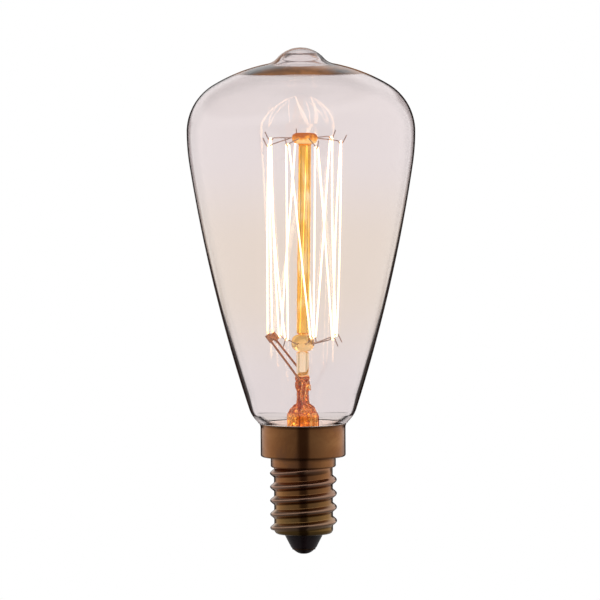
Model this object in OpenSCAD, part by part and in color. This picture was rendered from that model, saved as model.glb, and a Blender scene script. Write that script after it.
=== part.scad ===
// Vacuum lamp with a squirrel-cage filament, a pear-shaped glass and a small screw cap.
// The origin is the middle of the contact's flat end, with the glass above it along +Z.

/* [Glass] */
// Height of the whole lamp, from the contact to the tip of the glass
lamp_h = 104.4; // [102:0.2:107]
// Widest diameter of the glass
glass_d = 47; // [45:0.2:50]
// Height of the widest place
widest_z = 87.1; // [86:0.1:88]
// Wall of the blown glass
glass_wall = 0.7; // [0.5:0.05:1]
// Radius of the shoulder above the widest place
shoulder_r = 11.2; // [10.6:0.1:12]
// Height that the domed crown would reach without its nub
crown_z = 101.7; // [101.2:0.05:102]
// Radius of the nub at the top
nub_r = 6.4; // [5:0.1:7.5]
// Radius of the hollow between the nub and the crown
nub_fillet_r = 3.9; // [2.5:0.1:5]
// Radius of the belly just below the widest place
belly_r = 43.5; // [38:0.5:50]
// Radius of the long curve from the belly to the throat
taper_r = 325; // [280:5:450]
// Diameter of the throat's round, just above the collar
throat_d = 22.66; // [22:0.02:23.6]
// Height of the throat's round
throat_z = 31.8; // [31.4:0.1:33]
// Radius of the throat's round
throat_r = 6; // [5.6:0.1:6.4]
// Diameter of the neck inside the collar
neck_d = 16.2; // [15.6:0.1:16.4]
// Radius between the throat and the neck
neck_fillet_r = 0.5; // [0.3:0.05:0.8]
// Height where the neck and the stem are sealed together
seal_z = 21.5; // [21.3:0.1:22]

/* [Cap] */
// Diameter of the collar
collar_d = 17.5; // [17:0.1:18]
// Height of the collar's rim
collar_top_z = 26.65; // [26:0.05:26.65]
// Height of the shelf under the collar
shelf_z = 20.1; // [19.8:0.1:20.2]
// Radius of the collar's lower edge
collar_round_r = 0.4; // [0.4:0.1:0.8]
// Sheet of the brass shell
sheet = 0.25; // [0.2:0.05:0.35]
// Diameter of the plain band between the collar and the thread
band_d = 13.4; // [13.1:0.1:13.6]
// Height where the thread's wall starts, under the plain band
band_z = 17.9; // [17.6:0.1:18.3]
// Outer diameter over the thread's crests
thread_d = 13.76; // [13.6:0.02:13.88]
// Diameter in the thread's roots
root_d = 12.1; // [11.8:0.05:12.3]
// Rise of the thread in one turn
pitch = 2.822; // [2.75:0.01:2.9]
// Height of the crest of one thread turn
crest_h = 1.6; // [1.2:0.1:2]
// Turns that the thread makes
turns = 4.7; // [4:0.05:4.8]
// Height where the thread runs out at the bottom, on the +X side
thread_z = 3.95; // [3.7:0.05:4.3]
// Height of the shell's lower edge
shell_z = 4.1; // [3.8:0.1:4.4]
// Radius of the shell's rolled lower edge
curl_r = 0.9; // [0.6:0.1:1.2]
// Diameter of the opening in the shell's lower edge
mouth_d = 9.4; // [9:0.1:9.8]
// Height of the black insulator's top, inside the shell
insulator_top_z = 7; // [6:0.1:8]
// Diameter of the insulator's cone at the shell
cone_d = 7.8; // [7:0.1:8.4]
// Diameter of the centre contact's plate
contact_d = 4.8; // [4.2:0.1:5]
// Height of the contact's plate above the flat end of the solder
contact_z = 0.9; // [0.7:0.05:1.1]
// Thickness of the contact's plate
contact_t = 0.25; // [0.2:0.05:0.4]
// Diameter of the flat end of the solder
land_d = 1.4; // [1:0.1:2]

/* [Stem] */
// Outer diameter of the stem's tube
stem_d = 6.6; // [6.2:0.1:7]
// Wall of the stem's tube
stem_wall = 0.8; // [0.6:0.05:0.9]
// Radius of the flare between the tube and its rim
flare_r = 4; // [3.6:0.1:4]
// Height of the stem's domed top
dome_z = 31.6; // [31.2:0.1:32]
// Height of the ceiling of the cavity in the stem
ceiling_z = 29.4; // [29:0.1:29.6]
// Height of the press's top
press_z = 36; // [35.6:0.1:37]
// Width of the flat press
press_w = 5.4; // [5.3:0.1:6]
// Thickness of the flat press
press_t = 1.7; // [1.6:0.1:2.2]
// Direction of the press's width, turned from +X
press_turn = 70; // [60:1:80]
// Distance of each sealed wire from the middle of the press
wire_r = 2; // [1.9:0.05:2.05]
// Diameter of the hole that the lamp was pumped out through
pump_hole_d = 0.9; // [0.7:0.05:1]
// Height of that hole's mouth in the press
pump_hole_z = 34.4; // [34:0.1:34.6]
// Reach of the glass lip round that hole, beyond the press
lip_h = 0.8; // [0.4:0.1:1]
// Wall of that lip
lip_wall = 0.3; // [0.2:0.05:0.4]
// Outer diameter of the exhaust tube
exhaust_d = 2.8; // [2.4:0.1:2.9]
// Wall of the exhaust tube
exhaust_wall = 0.6; // [0.4:0.05:0.7]
// Height of the exhaust tube's sealed tip
exhaust_tip_z = 13.5; // [13:0.1:16]

/* [Centre rod] */
// Lean of the rod, and of all that it carries, towards +X about its foot
rod_lean = 0.9; // [0:0.1:1.2]
// Diameter of the centre rod
rod_d = 2.6; // [2.3:0.1:2.7]
// Diameter of the pad that carries the rod
pad_d = 3; // [2.8:0.1:3.2]
// Height of that pad
pad_h = 0.6; // [0.4:0.1:0.8]
// Diameter of the upper glass button
upper_button_d = 5.4; // [5:0.1:5.8]
// Height of the upper glass button
upper_button_h = 2.1; // [1.9:0.1:2.4]
// Place of the upper button's middle
upper_button_z = 85.7; // [84:0.1:87]
// Diameter of the lower glass button
lower_button_d = 4.8; // [4.6:0.1:5.2]
// Height of the lower glass button
lower_button_h = 3.5; // [3:0.1:4]
// Place of the lower button's middle
lower_button_z = 43.4; // [42:0.1:45]

/* [Wires] */
// Diameter of the hooks' wire
hook_wire_d = 0.22; // [0.2:0.01:0.26]
// Radius of the ring that the upper hooks hold the filament on
upper_ring_r = 7.5; // [7:0.1:8]
// Radius of the ring that the lower hooks hold the filament on
lower_ring_r = 7; // [6.6:0.1:7.6]
// Reach of each hook's tip beyond the filament
tip_out = 1.2; // [0.9:0.1:1.5]
// Rise of each hook's tip from the filament
tip_up = 1.65; // [1.2:0.05:2]
// Diameter of the filament's strand
filament_d = 0.38; // [0.3:0.01:0.42]
// Diameter of the inner leads
lead_d = 0.45; // [0.4:0.01:0.5]
// Diameter of the sealed wires in the press
seal_wire_d = 0.35; // [0.3:0.01:0.4]
// Diameter of the outer leads
outer_lead_d = 0.3; // [0.25:0.01:0.35]
// Length of each clamp that holds an end of the filament
clamp_l = 1.7; // [1.4:0.1:2]
// Wall of each clamp
clamp_wall = 0.16; // [0.1:0.02:0.2]

/* [Hidden] */
$fn = 96;

// Clearance of a wire in its bore, and of a part in its seat
fit = 0.02;
// Gap between two faces that meet
touch = 0.001;
// Extra reach of a cutter beyond what it cuts
over = 1;
// Turns over which each end of the thread fades into the wall
thread_fade = 0.3;
// Height of the step between the insulator's cone and the shell's mouth
cone_step = 0.3;
// Border of the insulator round the contact's plate
plate_border = 0.1;
// Radius of the hole in the middle of the insulator and of the contact's plate
contact_hole_r = 0.6;
// How far the solder's edge stands in from the plate's edge
solder_inset = 0.15;
// Height of the solder inside the plate's hole
solder_stub = 0.5;
// Gap round the second outer lead where it passes the shell
lead_hole_gap = 0.2;
// Radius of the edge of the cavity's ceiling in the stem
ceiling_edge_r = 0.4;
// Depth of the rod's pad in the press
pad_root = 0.5;
// Height of the solid glass at the exhaust tube's sealed tip, in radii of the tube
tip_solid = 3;
// Radius of the buttons' rounded edges, as a share of their height
button_edge = 0.46;
// Glass between the rod's bore and the roots of the hooks
hook_root_gap = 0.25;
// Straight length of a hook outside its button
hook_stub = 0.3;
// Bend of a hook round its seat: distance beyond the ring, and depth below the seat
HOOK_BEND = [[-0.9, -0.45], [-0.5, -0.16], [-0.22, -0.01], [0, 0], [0.22, -0.01], [0.46, -0.2]];
// Where each strand has its points, as shares of its length
STRAND_STEPS = [0.15, 0.38, 0.62, 0.85];
// Length of the bend where an inner lead leaves the press
lead_bend = 0.3;
// Space between a lead and the filament in their clamp
clamp_gap = 0.06;
// Share of the clamp's length that the filament's end lies in
clamp_hold = 0.9;
// Way of the filament out of its clamp, and its turn upwards there
clamp_exit = 0.25;
clamp_turn = 0.12;
// Steps of the second outer lead from the stem to its hole in the shell, as shares of the way
LEAD_STEPS = [0.09, 0.24, 0.45, 0.66];
// Gap between the filament and the hook that it hangs on
hook_gap = 0.03;
// Depth of the inner leads in the press
lead_seat = 1;
// Length of the sealed wires below the ceiling
seal_tail = 0.8;

// Upper hooks in the filament's order: direction round the rod, and drop below the upper button
UPPER_HOOKS = [[190, 1.6], [242, 1.1], [289, 1.6], [353, 0.8], [403, 0.3], [462, 0.2], [520, 0.6]];
// Lower hooks in the filament's order: direction round the rod, and rise above the lower button
LOWER_HOOKS = [[241, 1.5], [285, 1.8], [331, 1.4], [370, 1.7], [430, 1], [493, 1]];
// How far each strand bows out from the straight line, in the filament's order
STRAND_BOWS = [0.1, 0.5, 0, 0.1, 0, 0.1, -0.4, 0.2, -0.4, 0, 0, 0.1, 0.2, 0.1];
// Ends of the inner leads: direction round the rod, distance from it, and height above the lower button
LEAD_ENDS = [[188, 7.6, 1.6], [165, 6.8, 1.6]];
// Directions of the two sealed wires round the stem's middle
WIRE_TURNS = [press_turn + 180, press_turn];

// Brass, glass, wire and insulator colours
GLASS = [0.93, 0.91, 0.9, 0.35];
LIT_GLASS = [0.95, 0.52, 0.16, 0.8];
BRASS = [0.62, 0.48, 0.36];
BLACK_GLASS = [0.12, 0.09, 0.1];
SOLDER = [0.35, 0.31, 0.3];
NICKEL = [0.55, 0.36, 0.28];
MOLYBDENUM = [0.45, 0.4, 0.4];
COPPER = [0.72, 0.4, 0.25];
GLOW = [1, 0.95, 0.75];
CEMENT = [0.75, 0.71, 0.64];

neck_r = neck_d / 2;
collar_r = collar_d / 2;
band_r = band_d / 2;
root_r = root_d / 2;
bore_r = root_r - sheet;
loop_r = (hook_wire_d + filament_d) / 2 + hook_gap;
rod_z = press_z + pad_h;
hook_root_r = rod_d / 2 + hook_root_gap;
lead_hole_z = (band_z + shelf_z) / 2;
clamp_offset = (lead_d + filament_d) / 2 + clamp_gap;

function on_ring(turn, r, z) = [r * cos(turn), r * sin(turn), z];
function side_of(turn) = [-sin(turn), cos(turn), 0];
function unit(v) = v / norm(v);
function square_to(v, t) = unit(v - (v * t) * t);
// Points of a circular arc in the plane, from angle a0 to a1
function arc(c, r, a0, a1, n = 16) =
    [for (i = [0 : n]) let (a = a0 + (a1 - a0) * i / n) c + r * [cos(a), sin(a)]];
function angle_of(from, to) = atan2(to.y - from.y, to.x - from.x);
// Centre at distance r0 from c0 and r1 from c1, on the side that is left of the way from c0 to c1
function meet(c0, r0, c1, r1) =
    let (d = norm(c1 - c0), a = (r0 * r0 - r1 * r1 + d * d) / (2 * d), u = (c1 - c0) / d)
    c0 + a * u + sqrt(r0 * r0 - a * a) * [-u.y, u.x];
// Where a point that stands upright lies in the frame of the leaning rod
function from_upright(p) =
    let (z = p.z - rod_z)
    [p.x * cos(rod_lean) - z * sin(rod_lean), p.y, rod_z + p.x * sin(rod_lean) + z * cos(rod_lean)];

module lean() {
    translate([0, 0, rod_z])
        rotate([0, rod_lean, 0])
            translate([0, 0, -rod_z])
                children();
}

// Tube along a path, as one closed skin

function tangents(path) =
    [for (i = [0 : len(path) - 1]) unit(path[min(i + 1, len(path) - 1)] - path[max(i - 1, 0)])];
function normals(t, i = 0, n = [0.31, 0.87, 0.38]) =
    i == len(t) ? [] : let (m = square_to(n, t[i])) concat([m], normals(t, i + 1, m));

module tube(path, d, sides = 8) {
    t = tangents(path);
    n = normals(t);
    last = (len(path) - 1) * sides;
    points = [
        for (i = [0 : len(path) - 1], k = [0 : sides - 1])
            let (a = 360 * k / sides)
            path[i] + d / 2 * (cos(a) * n[i] + sin(a) * cross(t[i], n[i]))
    ];
    skin = [
        for (i = [0 : len(path) - 2], k = [0 : sides - 1])
            let (a = i * sides + k, b = i * sides + (k + 1) % sides)
            each [[a, a + sides, b + sides], [a, b + sides, b]]
    ];
    start = [for (k = [1 : sides - 2]) [0, k, k + 1]];
    end = [for (k = [1 : sides - 2]) [last, last + k + 1, last + k]];
    polyhedron(points, concat(skin, start, end));
}

// Glass envelope: one outline, which a grown or shrunk set of the same circles makes the inner wall of

shoulder_c = [glass_d / 2 - shoulder_r, widest_z];
belly_c = [glass_d / 2 - belly_r, widest_z];
throat_c = [throat_d / 2 - throat_r, throat_z];
taper_c = meet(throat_c, taper_r - throat_r, belly_c, taper_r - belly_r);
nub_c = [0, lamp_h - nub_r];
crown_drop = widest_z - crown_z;
crown_r = (shoulder_r ^ 2 - shoulder_c.x ^ 2 - crown_drop ^ 2) / (2 * (crown_drop + shoulder_r));
crown_c = [0, crown_z - crown_r];
nub_fillet_c = meet(nub_c, nub_r + nub_fillet_r, crown_c, crown_r + nub_fillet_r);
neck_fillet_c =
    let (x = neck_r + neck_fillet_r, r = throat_r + neck_fillet_r)
    [x, throat_z - sqrt(r ^ 2 - (x - throat_c.x) ^ 2)];

// Outline of the glass from the neck's lower edge to the top, w inside the outer wall
function glass_outline(w) =
    let (
        throat_a = angle_of(throat_c, neck_fillet_c),
        taper_a0 = angle_of(taper_c, throat_c),
        taper_a1 = angle_of(taper_c, belly_c),
        crown_a = angle_of(crown_c, shoulder_c),
        fillet_a = angle_of(crown_c, nub_fillet_c),
        nub_a = angle_of(nub_c, nub_fillet_c)
    )
    concat(
        [[neck_r - w, seal_z]],
        arc(neck_fillet_c, neck_fillet_r + w, 180, throat_a + 180, 8),
        arc(throat_c, throat_r - w, throat_a, taper_a0, 14),
        arc(taper_c, taper_r - w, taper_a0, taper_a1, 20),
        arc(belly_c, belly_r - w, taper_a1, 0, 8),
        arc(shoulder_c, shoulder_r - w, 0, crown_a, 28),
        arc(crown_c, crown_r - w, crown_a, fillet_a, 8),
        arc(nub_fillet_c, nub_fillet_r + w, fillet_a - 180, nub_a - 180, 10),
        arc(nub_c, nub_r - w, nub_a, 90, 12)
    );

// Neighbouring arcs share an end, so a repeated point is left out
function without_repeats(p) =
    [for (i = [0 : len(p) - 1]) if (i == 0 || norm(p[i] - p[i - 1]) > 0.001) p[i]];
function reversed(p) = [for (i = [len(p) - 1 : -1 : 0]) p[i]];

module glass_envelope() {
    color(GLASS)
        rotate_extrude()
            polygon(without_repeats(concat(glass_outline(0), reversed(glass_outline(glass_wall)))));
}

// Cap

curl_c = [root_r - curl_r, shell_z + curl_r];
collar_c = [collar_r - collar_round_r, shelf_z + collar_round_r];
groove_c = [band_r + sheet, shelf_z - sheet];

module cap_collar_outside() {
    rotate_extrude()
        polygon(concat(
            [[0, band_z], [band_r, band_z]],
            arc(groove_c, sheet, 180, 90, 6),
            arc(collar_c, collar_round_r, -90, 0, 12),
            arc([collar_r - sheet / 2, collar_top_z - sheet / 2], sheet / 2, 0, 90, 6),
            [[0, collar_top_z]]
        ));
}

module cap_curl_outside() {
    rotate_extrude()
        polygon(concat(
            [[0, shell_z]],
            arc(curl_c, curl_r, -90, 0, 10),
            [[0, curl_c.y]]
        ));
}

// Everything inside the sheet, from the mouth up to the collar's rim
module cap_cavity() {
    rotate_extrude()
        polygon(concat(
            [[0, shell_z - over], [mouth_d / 2, shell_z - over], [mouth_d / 2, shell_z + sheet]],
            arc(curl_c, curl_r - sheet, -90, 0, 10),
            [[bore_r, band_z + sheet]],
            [[band_r - sheet, band_z + sheet]],
            arc(groove_c, 2 * sheet, 180, 90, 6),
            arc(collar_c, collar_round_r - sheet, -90, 0, 12),
            [[collar_r - sheet, collar_top_z + over], [0, collar_top_z + over]]
        ));
}

// Radius of the thread's wall at a turn and a height: a round bead on the crest, else the root
function thread_wall(turn, z) =
    let (
        u = (z - thread_z) / pitch - turn / 360,
        k = round(u),
        off = abs(u - k) * pitch,
        s = k + turn / 360,
        fade = max(0, min(1, s / thread_fade)) * max(0, min(1, (turns - s) / thread_fade)),
        wave = off < crest_h / 2 ? cos(180 * off / crest_h) : 0
    )
    root_r + (thread_d / 2 - root_r) * fade * wave;

// Threaded wall as a solid core, whose two end rings lie inside the curl and the band
module threaded_core() {
    columns = 48;
    rows = 52;
    z0 = curl_c.y;
    step = (band_z - z0) / rows;
    bury = sheet / 3;
    ring = [for (c = [0 : columns - 1]) 360 * c / columns];
    heights = [z0 - bury, for (i = [0 : rows]) z0 + i * step, band_z + bury];
    last = len(heights) - 1;
    points = concat(
        [
            for (i = [0 : last], turn = ring)
                let (r = i < 2 || i > last - 2 ? root_r - bury : thread_wall(turn, heights[i]))
                [r * cos(turn), r * sin(turn), heights[i]]
        ],
        [[0, 0, heights[0]], [0, 0, heights[last]]]
    );
    foot = len(points) - 2;
    skin = [
        for (i = [0 : last - 1], c = [0 : columns - 1])
            let (a = i * columns + c, b = i * columns + (c + 1) % columns)
            each [[a, a + columns, b + columns], [a, b + columns, b]]
    ];
    bottom = [for (c = [0 : columns - 1]) [foot, c, (c + 1) % columns]];
    top = [for (c = [0 : columns - 1]) [foot + 1, last * columns + (c + 1) % columns, last * columns + c]];
    polyhedron(points, concat(skin, bottom, top));
}

module lead_hole(d) {
    translate([0, band_r - over, lead_hole_z])
        rotate([-90, 0, 0])
            cylinder(d = d, h = 2 * over);
}

module cap_shell() {
    color(BRASS)
        difference() {
            union() {
                cap_collar_outside();
                threaded_core();
                cap_curl_outside();
            }
            cap_cavity();
            lead_hole(outer_lead_d + lead_hole_gap);
        }
}

module cement_ring() {
    color(CEMENT)
        translate([0, 0, seal_z])
            difference() {
                cylinder(r = collar_r - sheet - fit, h = neck_fillet_c.y - seal_z);
                translate([0, 0, -over])
                    cylinder(r = neck_r + fit, h = neck_fillet_c.y - seal_z + 2 * over);
            }
}

module cap_insulator() {
    cone_z = contact_z + contact_t + fit;
    color(BLACK_GLASS)
        rotate_extrude()
            polygon(concat(
                [[contact_hole_r, cone_z], [contact_d / 2 + plate_border, cone_z], [cone_d / 2, shell_z - cone_step]],
                [[mouth_d / 2 - fit, shell_z], [mouth_d / 2 - fit, shell_z + sheet + fit]],
                arc(curl_c, curl_r - sheet - fit, -90, 0, 10),
                [[bore_r - fit, insulator_top_z], [contact_hole_r, insulator_top_z]]
            ));
}

module contact_plate() {
    color(BRASS)
        translate([0, 0, contact_z])
            difference() {
                cylinder(d = contact_d, h = contact_t);
                translate([0, 0, -over])
                    cylinder(r = contact_hole_r, h = contact_t + 2 * over);
            }
}

// Solder dome on the contact's plate, with the flat end that meets the holder's spring
module contact_solder() {
    foot_r = contact_d / 2 - solder_inset;
    stub_r = contact_hole_r - fit;
    stub_z = contact_z + contact_t + solder_stub;
    r = (foot_r ^ 2 - (land_d / 2) ^ 2 + contact_z ^ 2) / (2 * contact_z);
    c = [0, sqrt(r ^ 2 - (land_d / 2) ^ 2)];
    color(SOLDER)
        difference() {
            rotate_extrude()
                polygon(without_repeats(concat(
                    [[0, 0]],
                    arc(c, r, -acos(land_d / 2 / r), angle_of(c, [foot_r, contact_z]), 12),
                    [[foot_r, contact_z - touch], [stub_r, contact_z - touch], [stub_r, stub_z], [0, stub_z]]
                )));
            translate([0, 0, contact_z / 2])
                cylinder(d = outer_lead_d + 2 * fit, h = stub_z);
        }
}

// Solder that joins the second outer lead to the shell's band, at the back
module side_solder() {
    color(SOLDER)
        difference() {
            translate([0, band_r, lead_hole_z])
                sphere(d = shelf_z - band_z - plate_border, $fn = 48);
            cylinder(r = band_r + fit, h = shelf_z + over);
            lead_hole(outer_lead_d + 2 * fit);
        }
}

// Stem

module glass_stem() {
    r = stem_d / 2;
    flare_c = [r + flare_r, seal_z + flare_r];
    dome_c = [0, dome_z - r];
    cavity_r = r - stem_wall;
    skin = concat(
        [[neck_r, seal_z]],
        arc(flare_c, flare_r, -90, -180, 16),
        arc(dome_c, r, 0, 90, 16),
        [[0, ceiling_z], [cavity_r - ceiling_edge_r, ceiling_z]],
        arc([cavity_r - ceiling_edge_r, ceiling_z - ceiling_edge_r], ceiling_edge_r, 90, 0, 4),
        arc(flare_c, flare_r + stem_wall, -180, -90, 16),
        [[neck_r, seal_z - stem_wall]]
    );
    color(LIT_GLASS)
        difference() {
            union() {
                rotate_extrude()
                    polygon(without_repeats(skin));
                press();
            }
            for (turn = WIRE_TURNS)
                rotate([0, 0, turn])
                    translate([wire_r, 0, 0]) {
                        translate([0, 0, press_z - lead_seat])
                            cylinder(d = lead_d + 2 * fit, h = lead_seat + over);
                        translate([0, 0, ceiling_z - over])
                            cylinder(d = seal_wire_d + 2 * fit, h = press_z - ceiling_z);
                    }
            translate([0, 0, ceiling_z - over])
                cylinder(d = pump_hole_d, h = pump_hole_z - ceiling_z + over);
            pump_mouth(pump_hole_d);
        }
}

module pump_mouth(d) {
    translate([0, 0, pump_hole_z])
        rotate([0, 90, press_turn - 90])
            cylinder(d = d, h = press_t / 2 + lip_h + over);
}

// Flat press that the wires are sealed in, with the lip of the pump hole and the rod's pad
module press() {
    gap = press_w - press_t;
    rotate([0, 0, press_turn])
        translate([0, 0, ceiling_z + fit])
            linear_extrude(press_z - ceiling_z - fit)
                union() {
                    square([gap, press_t], center = true);
                    for (side = [-1, 1])
                        translate([side * gap / 2, 0])
                            circle(d = press_t);
                }
    translate([0, 0, press_z - pad_root])
        cylinder(d = pad_d, h = pad_h + pad_root);
    difference() {
        translate([0, 0, pump_hole_z])
            rotate([0, 90, press_turn - 90])
                cylinder(d = pump_hole_d + 2 * lip_wall, h = press_t / 2 + lip_h);
        pump_mouth(pump_hole_d);
    }
}

module exhaust_tube() {
    r = exhaust_d / 2;
    inner = r - exhaust_wall;
    color(GLASS)
        rotate_extrude()
            polygon(without_repeats(concat(
                arc([0, exhaust_tip_z + r], r, -90, 0, 10),
                [[r, ceiling_z], [inner, ceiling_z]],
                arc([0, exhaust_tip_z + tip_solid * r], inner, 0, -90, 8)
            )));
}

module centre_rod() {
    color(LIT_GLASS)
        lean()
            translate([0, 0, rod_z + fit])
                cylinder(d = rod_d, h = upper_button_z - rod_z - fit);
}

// Round glass button with bores for its hooks, and one for the rod that ends at rod_top
module button(d, h, z, hooks, rod_top) {
    edge = h * button_edge;
    flat = h / 2 - edge;
    half = concat(
        arc([d / 2 - edge, z - flat], edge, -90, 0, 10),
        arc([d / 2 - edge, z + flat], edge, 0, 90, 10)
    );
    lean()
        difference() {
            rotate_extrude()
                polygon(without_repeats(concat([[0, z - h / 2]], half, [[0, z + h / 2]])));
            translate([0, 0, z - h])
                cylinder(d = rod_d + 2 * fit, h = rod_top - z + h + fit);
            for (hook = hooks)
                translate([0, 0, z])
                    rotate([0, 90, hook[0]])
                        translate([0, 0, hook_root_r - fit])
                            cylinder(d = hook_wire_d + 2 * fit, h = d, $fn = 24);
        }
}

module upper_button() {
    color(LIT_GLASS)
        button(upper_button_d, upper_button_h, upper_button_z, UPPER_HOOKS, upper_button_z);
}

module lower_button() {
    color(LIT_GLASS)
        button(lower_button_d, lower_button_h, lower_button_z, LOWER_HOOKS, lower_button_z + lower_button_h);
}

// One hook: out of its button, down to the filament's seat and up to the tip, or the same upside down
module hook(turn, button_z, button_d, ring_r, seat, way) {
    profile = concat(
        [[hook_root_r, 0], [button_d / 2 + hook_stub, 0]],
        [for (b = HOOK_BEND) [ring_r + b.x, seat + b.y]],
        [[ring_r + tip_out, seat - tip_up]]
    );
    color(MOLYBDENUM)
        lean()
            tube([for (p = profile) on_ring(turn, p.x, button_z - way * p.y)], hook_wire_d);
}

module upper_hook(i) {
    hook(UPPER_HOOKS[i][0], upper_button_z, upper_button_d, upper_ring_r, UPPER_HOOKS[i][1], 1);
}

module lower_hook(i) {
    hook(LOWER_HOOKS[i][0], lower_button_z, lower_button_d, lower_ring_r, LOWER_HOOKS[i][1], -1);
}

// Leads and clamps

function lead_exit(i) = from_upright(on_ring(WIRE_TURNS[i], wire_r, press_z + lead_bend / 3));
function lead_end(i) = on_ring(LEAD_ENDS[i][0], LEAD_ENDS[i][1], lower_button_z + LEAD_ENDS[i][2]);
function lead_way(i) = unit(lead_end(i) - lead_exit(i));
function clamp_side(i) = square_to([0, 0, 1], lead_way(i));

module inner_lead(i) {
    exit = lead_exit(i);
    color(NICKEL)
        lean()
            tube([
                from_upright(on_ring(WIRE_TURNS[i], wire_r, press_z - lead_seat)),
                from_upright(on_ring(WIRE_TURNS[i], wire_r, press_z - lead_bend / 2)),
                exit,
                exit + lead_bend * lead_way(i),
                lead_end(i)
            ], lead_d);
}

module seal_wire(i) {
    color(COPPER)
        rotate([0, 0, WIRE_TURNS[i]])
            translate([wire_r, 0, ceiling_z - seal_tail])
                cylinder(d = seal_wire_d, h = press_z - lead_seat - ceiling_z + seal_tail, $fn = 24);
}

// Folded clamp at a lead's end: one channel for the lead and one for the filament
module filament_clamp(i) {
    way = lead_way(i);
    side = clamp_side(i);
    lead_r = lead_d / 2 + fit;
    strand_r = filament_d / 2 + fit;
    color(NICKEL)
        lean()
            translate(lead_end(i) - clamp_l * way)
                rotate([0, acos(way.z), atan2(way.y, way.x)])
                    linear_extrude(clamp_l)
                        difference() {
                            union() {
                                circle(r = lead_r + clamp_wall, $fn = 32);
                                translate([-clamp_offset, 0])
                                    circle(r = strand_r + clamp_wall, $fn = 32);
                                translate([-clamp_offset / 2, 0])
                                    square([clamp_offset, 2 * strand_r], center = true);
                            }
                            circle(r = lead_r, $fn = 32);
                            translate([-clamp_offset, 0])
                                circle(r = strand_r, $fn = 32);
                        }
}

// Past the exhaust tube's tip, then to the middle and down to the contact
module outer_lead_1() {
    color(COPPER)
        tube([
            on_ring(WIRE_TURNS[0], wire_r, ceiling_z - seal_tail),
            on_ring(WIRE_TURNS[0], wire_r, seal_z),
            on_ring(WIRE_TURNS[0], 1.12 * wire_r, exhaust_tip_z + exhaust_d / 2),
            on_ring(WIRE_TURNS[0], 0.8 * wire_r, exhaust_tip_z - 0.7 * exhaust_d),
            on_ring(WIRE_TURNS[0], 0.26 * wire_r, 1.28 * insulator_top_z),
            [0, 0, 1.07 * insulator_top_z],
            [0, 0, 0.6 * contact_z]
        ], outer_lead_d);
}

// Down from the stem, then outwards to its hole in the shell's band
module outer_lead_2() {
    start = on_ring(WIRE_TURNS[1], wire_r, seal_z);
    color(COPPER)
        tube(concat(
            [on_ring(WIRE_TURNS[1], wire_r, ceiling_z - seal_tail), start + [0, 0, sheet]],
            [for (f = LEAD_STEPS) [
                start.x * (1 - f) ^ 2,
                start.y + f * (band_r - start.y),
                lead_hole_z + (seal_z - lead_hole_z) * (1 - f) ^ 6
            ]],
            [[0, band_r + sheet, lead_hole_z]]
        ), outer_lead_d);
}

// Filament: one strand that hangs over each upper hook and runs under each lower one

function bend(turn, r, z, way) =
    [for (i = [0 : 4]) let (a = 180 - 45 * i) on_ring(turn, r, z) + loop_r * (cos(a) * side_of(turn) + [0, 0, way * sin(a)])];
function upper_bend(i) = bend(UPPER_HOOKS[i][0], upper_ring_r, upper_button_z - UPPER_HOOKS[i][1], 1);
function lower_bend(i) = bend(LOWER_HOOKS[i][0], lower_ring_r, lower_button_z + LOWER_HOOKS[i][1], -1);
// Points between two ends of a strand, bowed out from the rod
function strand(p, q, bow) =
    let (m = (p + q) / 2, out = unit([m.x, m.y, 0]))
    [for (f = STRAND_STEPS) p + f * (q - p) + 4 * f * (1 - f) * bow * out];
function clamped_end(i) =
    let (e = lead_end(i) + clamp_offset * clamp_side(i))
    [
        e - clamp_hold * clamp_l * lead_way(i),
        e - fit * lead_way(i),
        e + clamp_exit * lead_way(i) + [0, 0, clamp_turn]
    ];

function filament_path() =
    let (
        first = clamped_end(0),
        last = reversed(clamped_end(1)),
        uppers = [for (i = [0 : 6]) upper_bend(i)],
        lowers = [for (i = [0 : 5]) lower_bend(i)],
        middle = [
            for (i = [0 : 5])
                each concat(
                    uppers[i],
                    strand(uppers[i][4], lowers[i][0], STRAND_BOWS[2 * i + 1]),
                    lowers[i],
                    strand(lowers[i][4], uppers[i + 1][0], STRAND_BOWS[2 * i + 2])
                )
        ]
    )
    concat(
        first,
        strand(first[2], uppers[0][0], STRAND_BOWS[0]),
        middle,
        uppers[6],
        strand(uppers[6][4], last[0], STRAND_BOWS[13]),
        last
    );

module filament() {
    color(GLOW)
        lean()
            tube(filament_path(), filament_d, 6);
}

glass_envelope();
cap_shell();
cement_ring();
cap_insulator();
contact_plate();
contact_solder();
side_solder();
glass_stem();
exhaust_tube();
centre_rod();
upper_button();
lower_button();
upper_hook(0);  // upper_hook_1
upper_hook(1);  // upper_hook_2
upper_hook(2);  // upper_hook_3
upper_hook(3);  // upper_hook_4
upper_hook(4);  // upper_hook_5
upper_hook(5);  // upper_hook_6
upper_hook(6);  // upper_hook_7
lower_hook(0);  // lower_hook_1
lower_hook(1);  // lower_hook_2
lower_hook(2);  // lower_hook_3
lower_hook(3);  // lower_hook_4
lower_hook(4);  // lower_hook_5
lower_hook(5);  // lower_hook_6
inner_lead(0);  // inner_lead_1
inner_lead(1);  // inner_lead_2
seal_wire(0);  // seal_wire_1
seal_wire(1);  // seal_wire_2
outer_lead_1();
outer_lead_2();
filament_clamp(0);  // filament_clamp_1
filament_clamp(1);  // filament_clamp_2
filament();
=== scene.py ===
"""Filament bulb: pear-shaped clear glass, a squirrel cage of glowing filament on a glass rod, and a brass screw cap.

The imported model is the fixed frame. Sizes in this file are millimetres, and a mesh is turned to metres when it is made.
"""

import logging
import math
from dataclasses import dataclass
from enum import Enum
from typing import Any

import bpy
import numpy as np
from mathutils import Matrix, Vector


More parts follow.
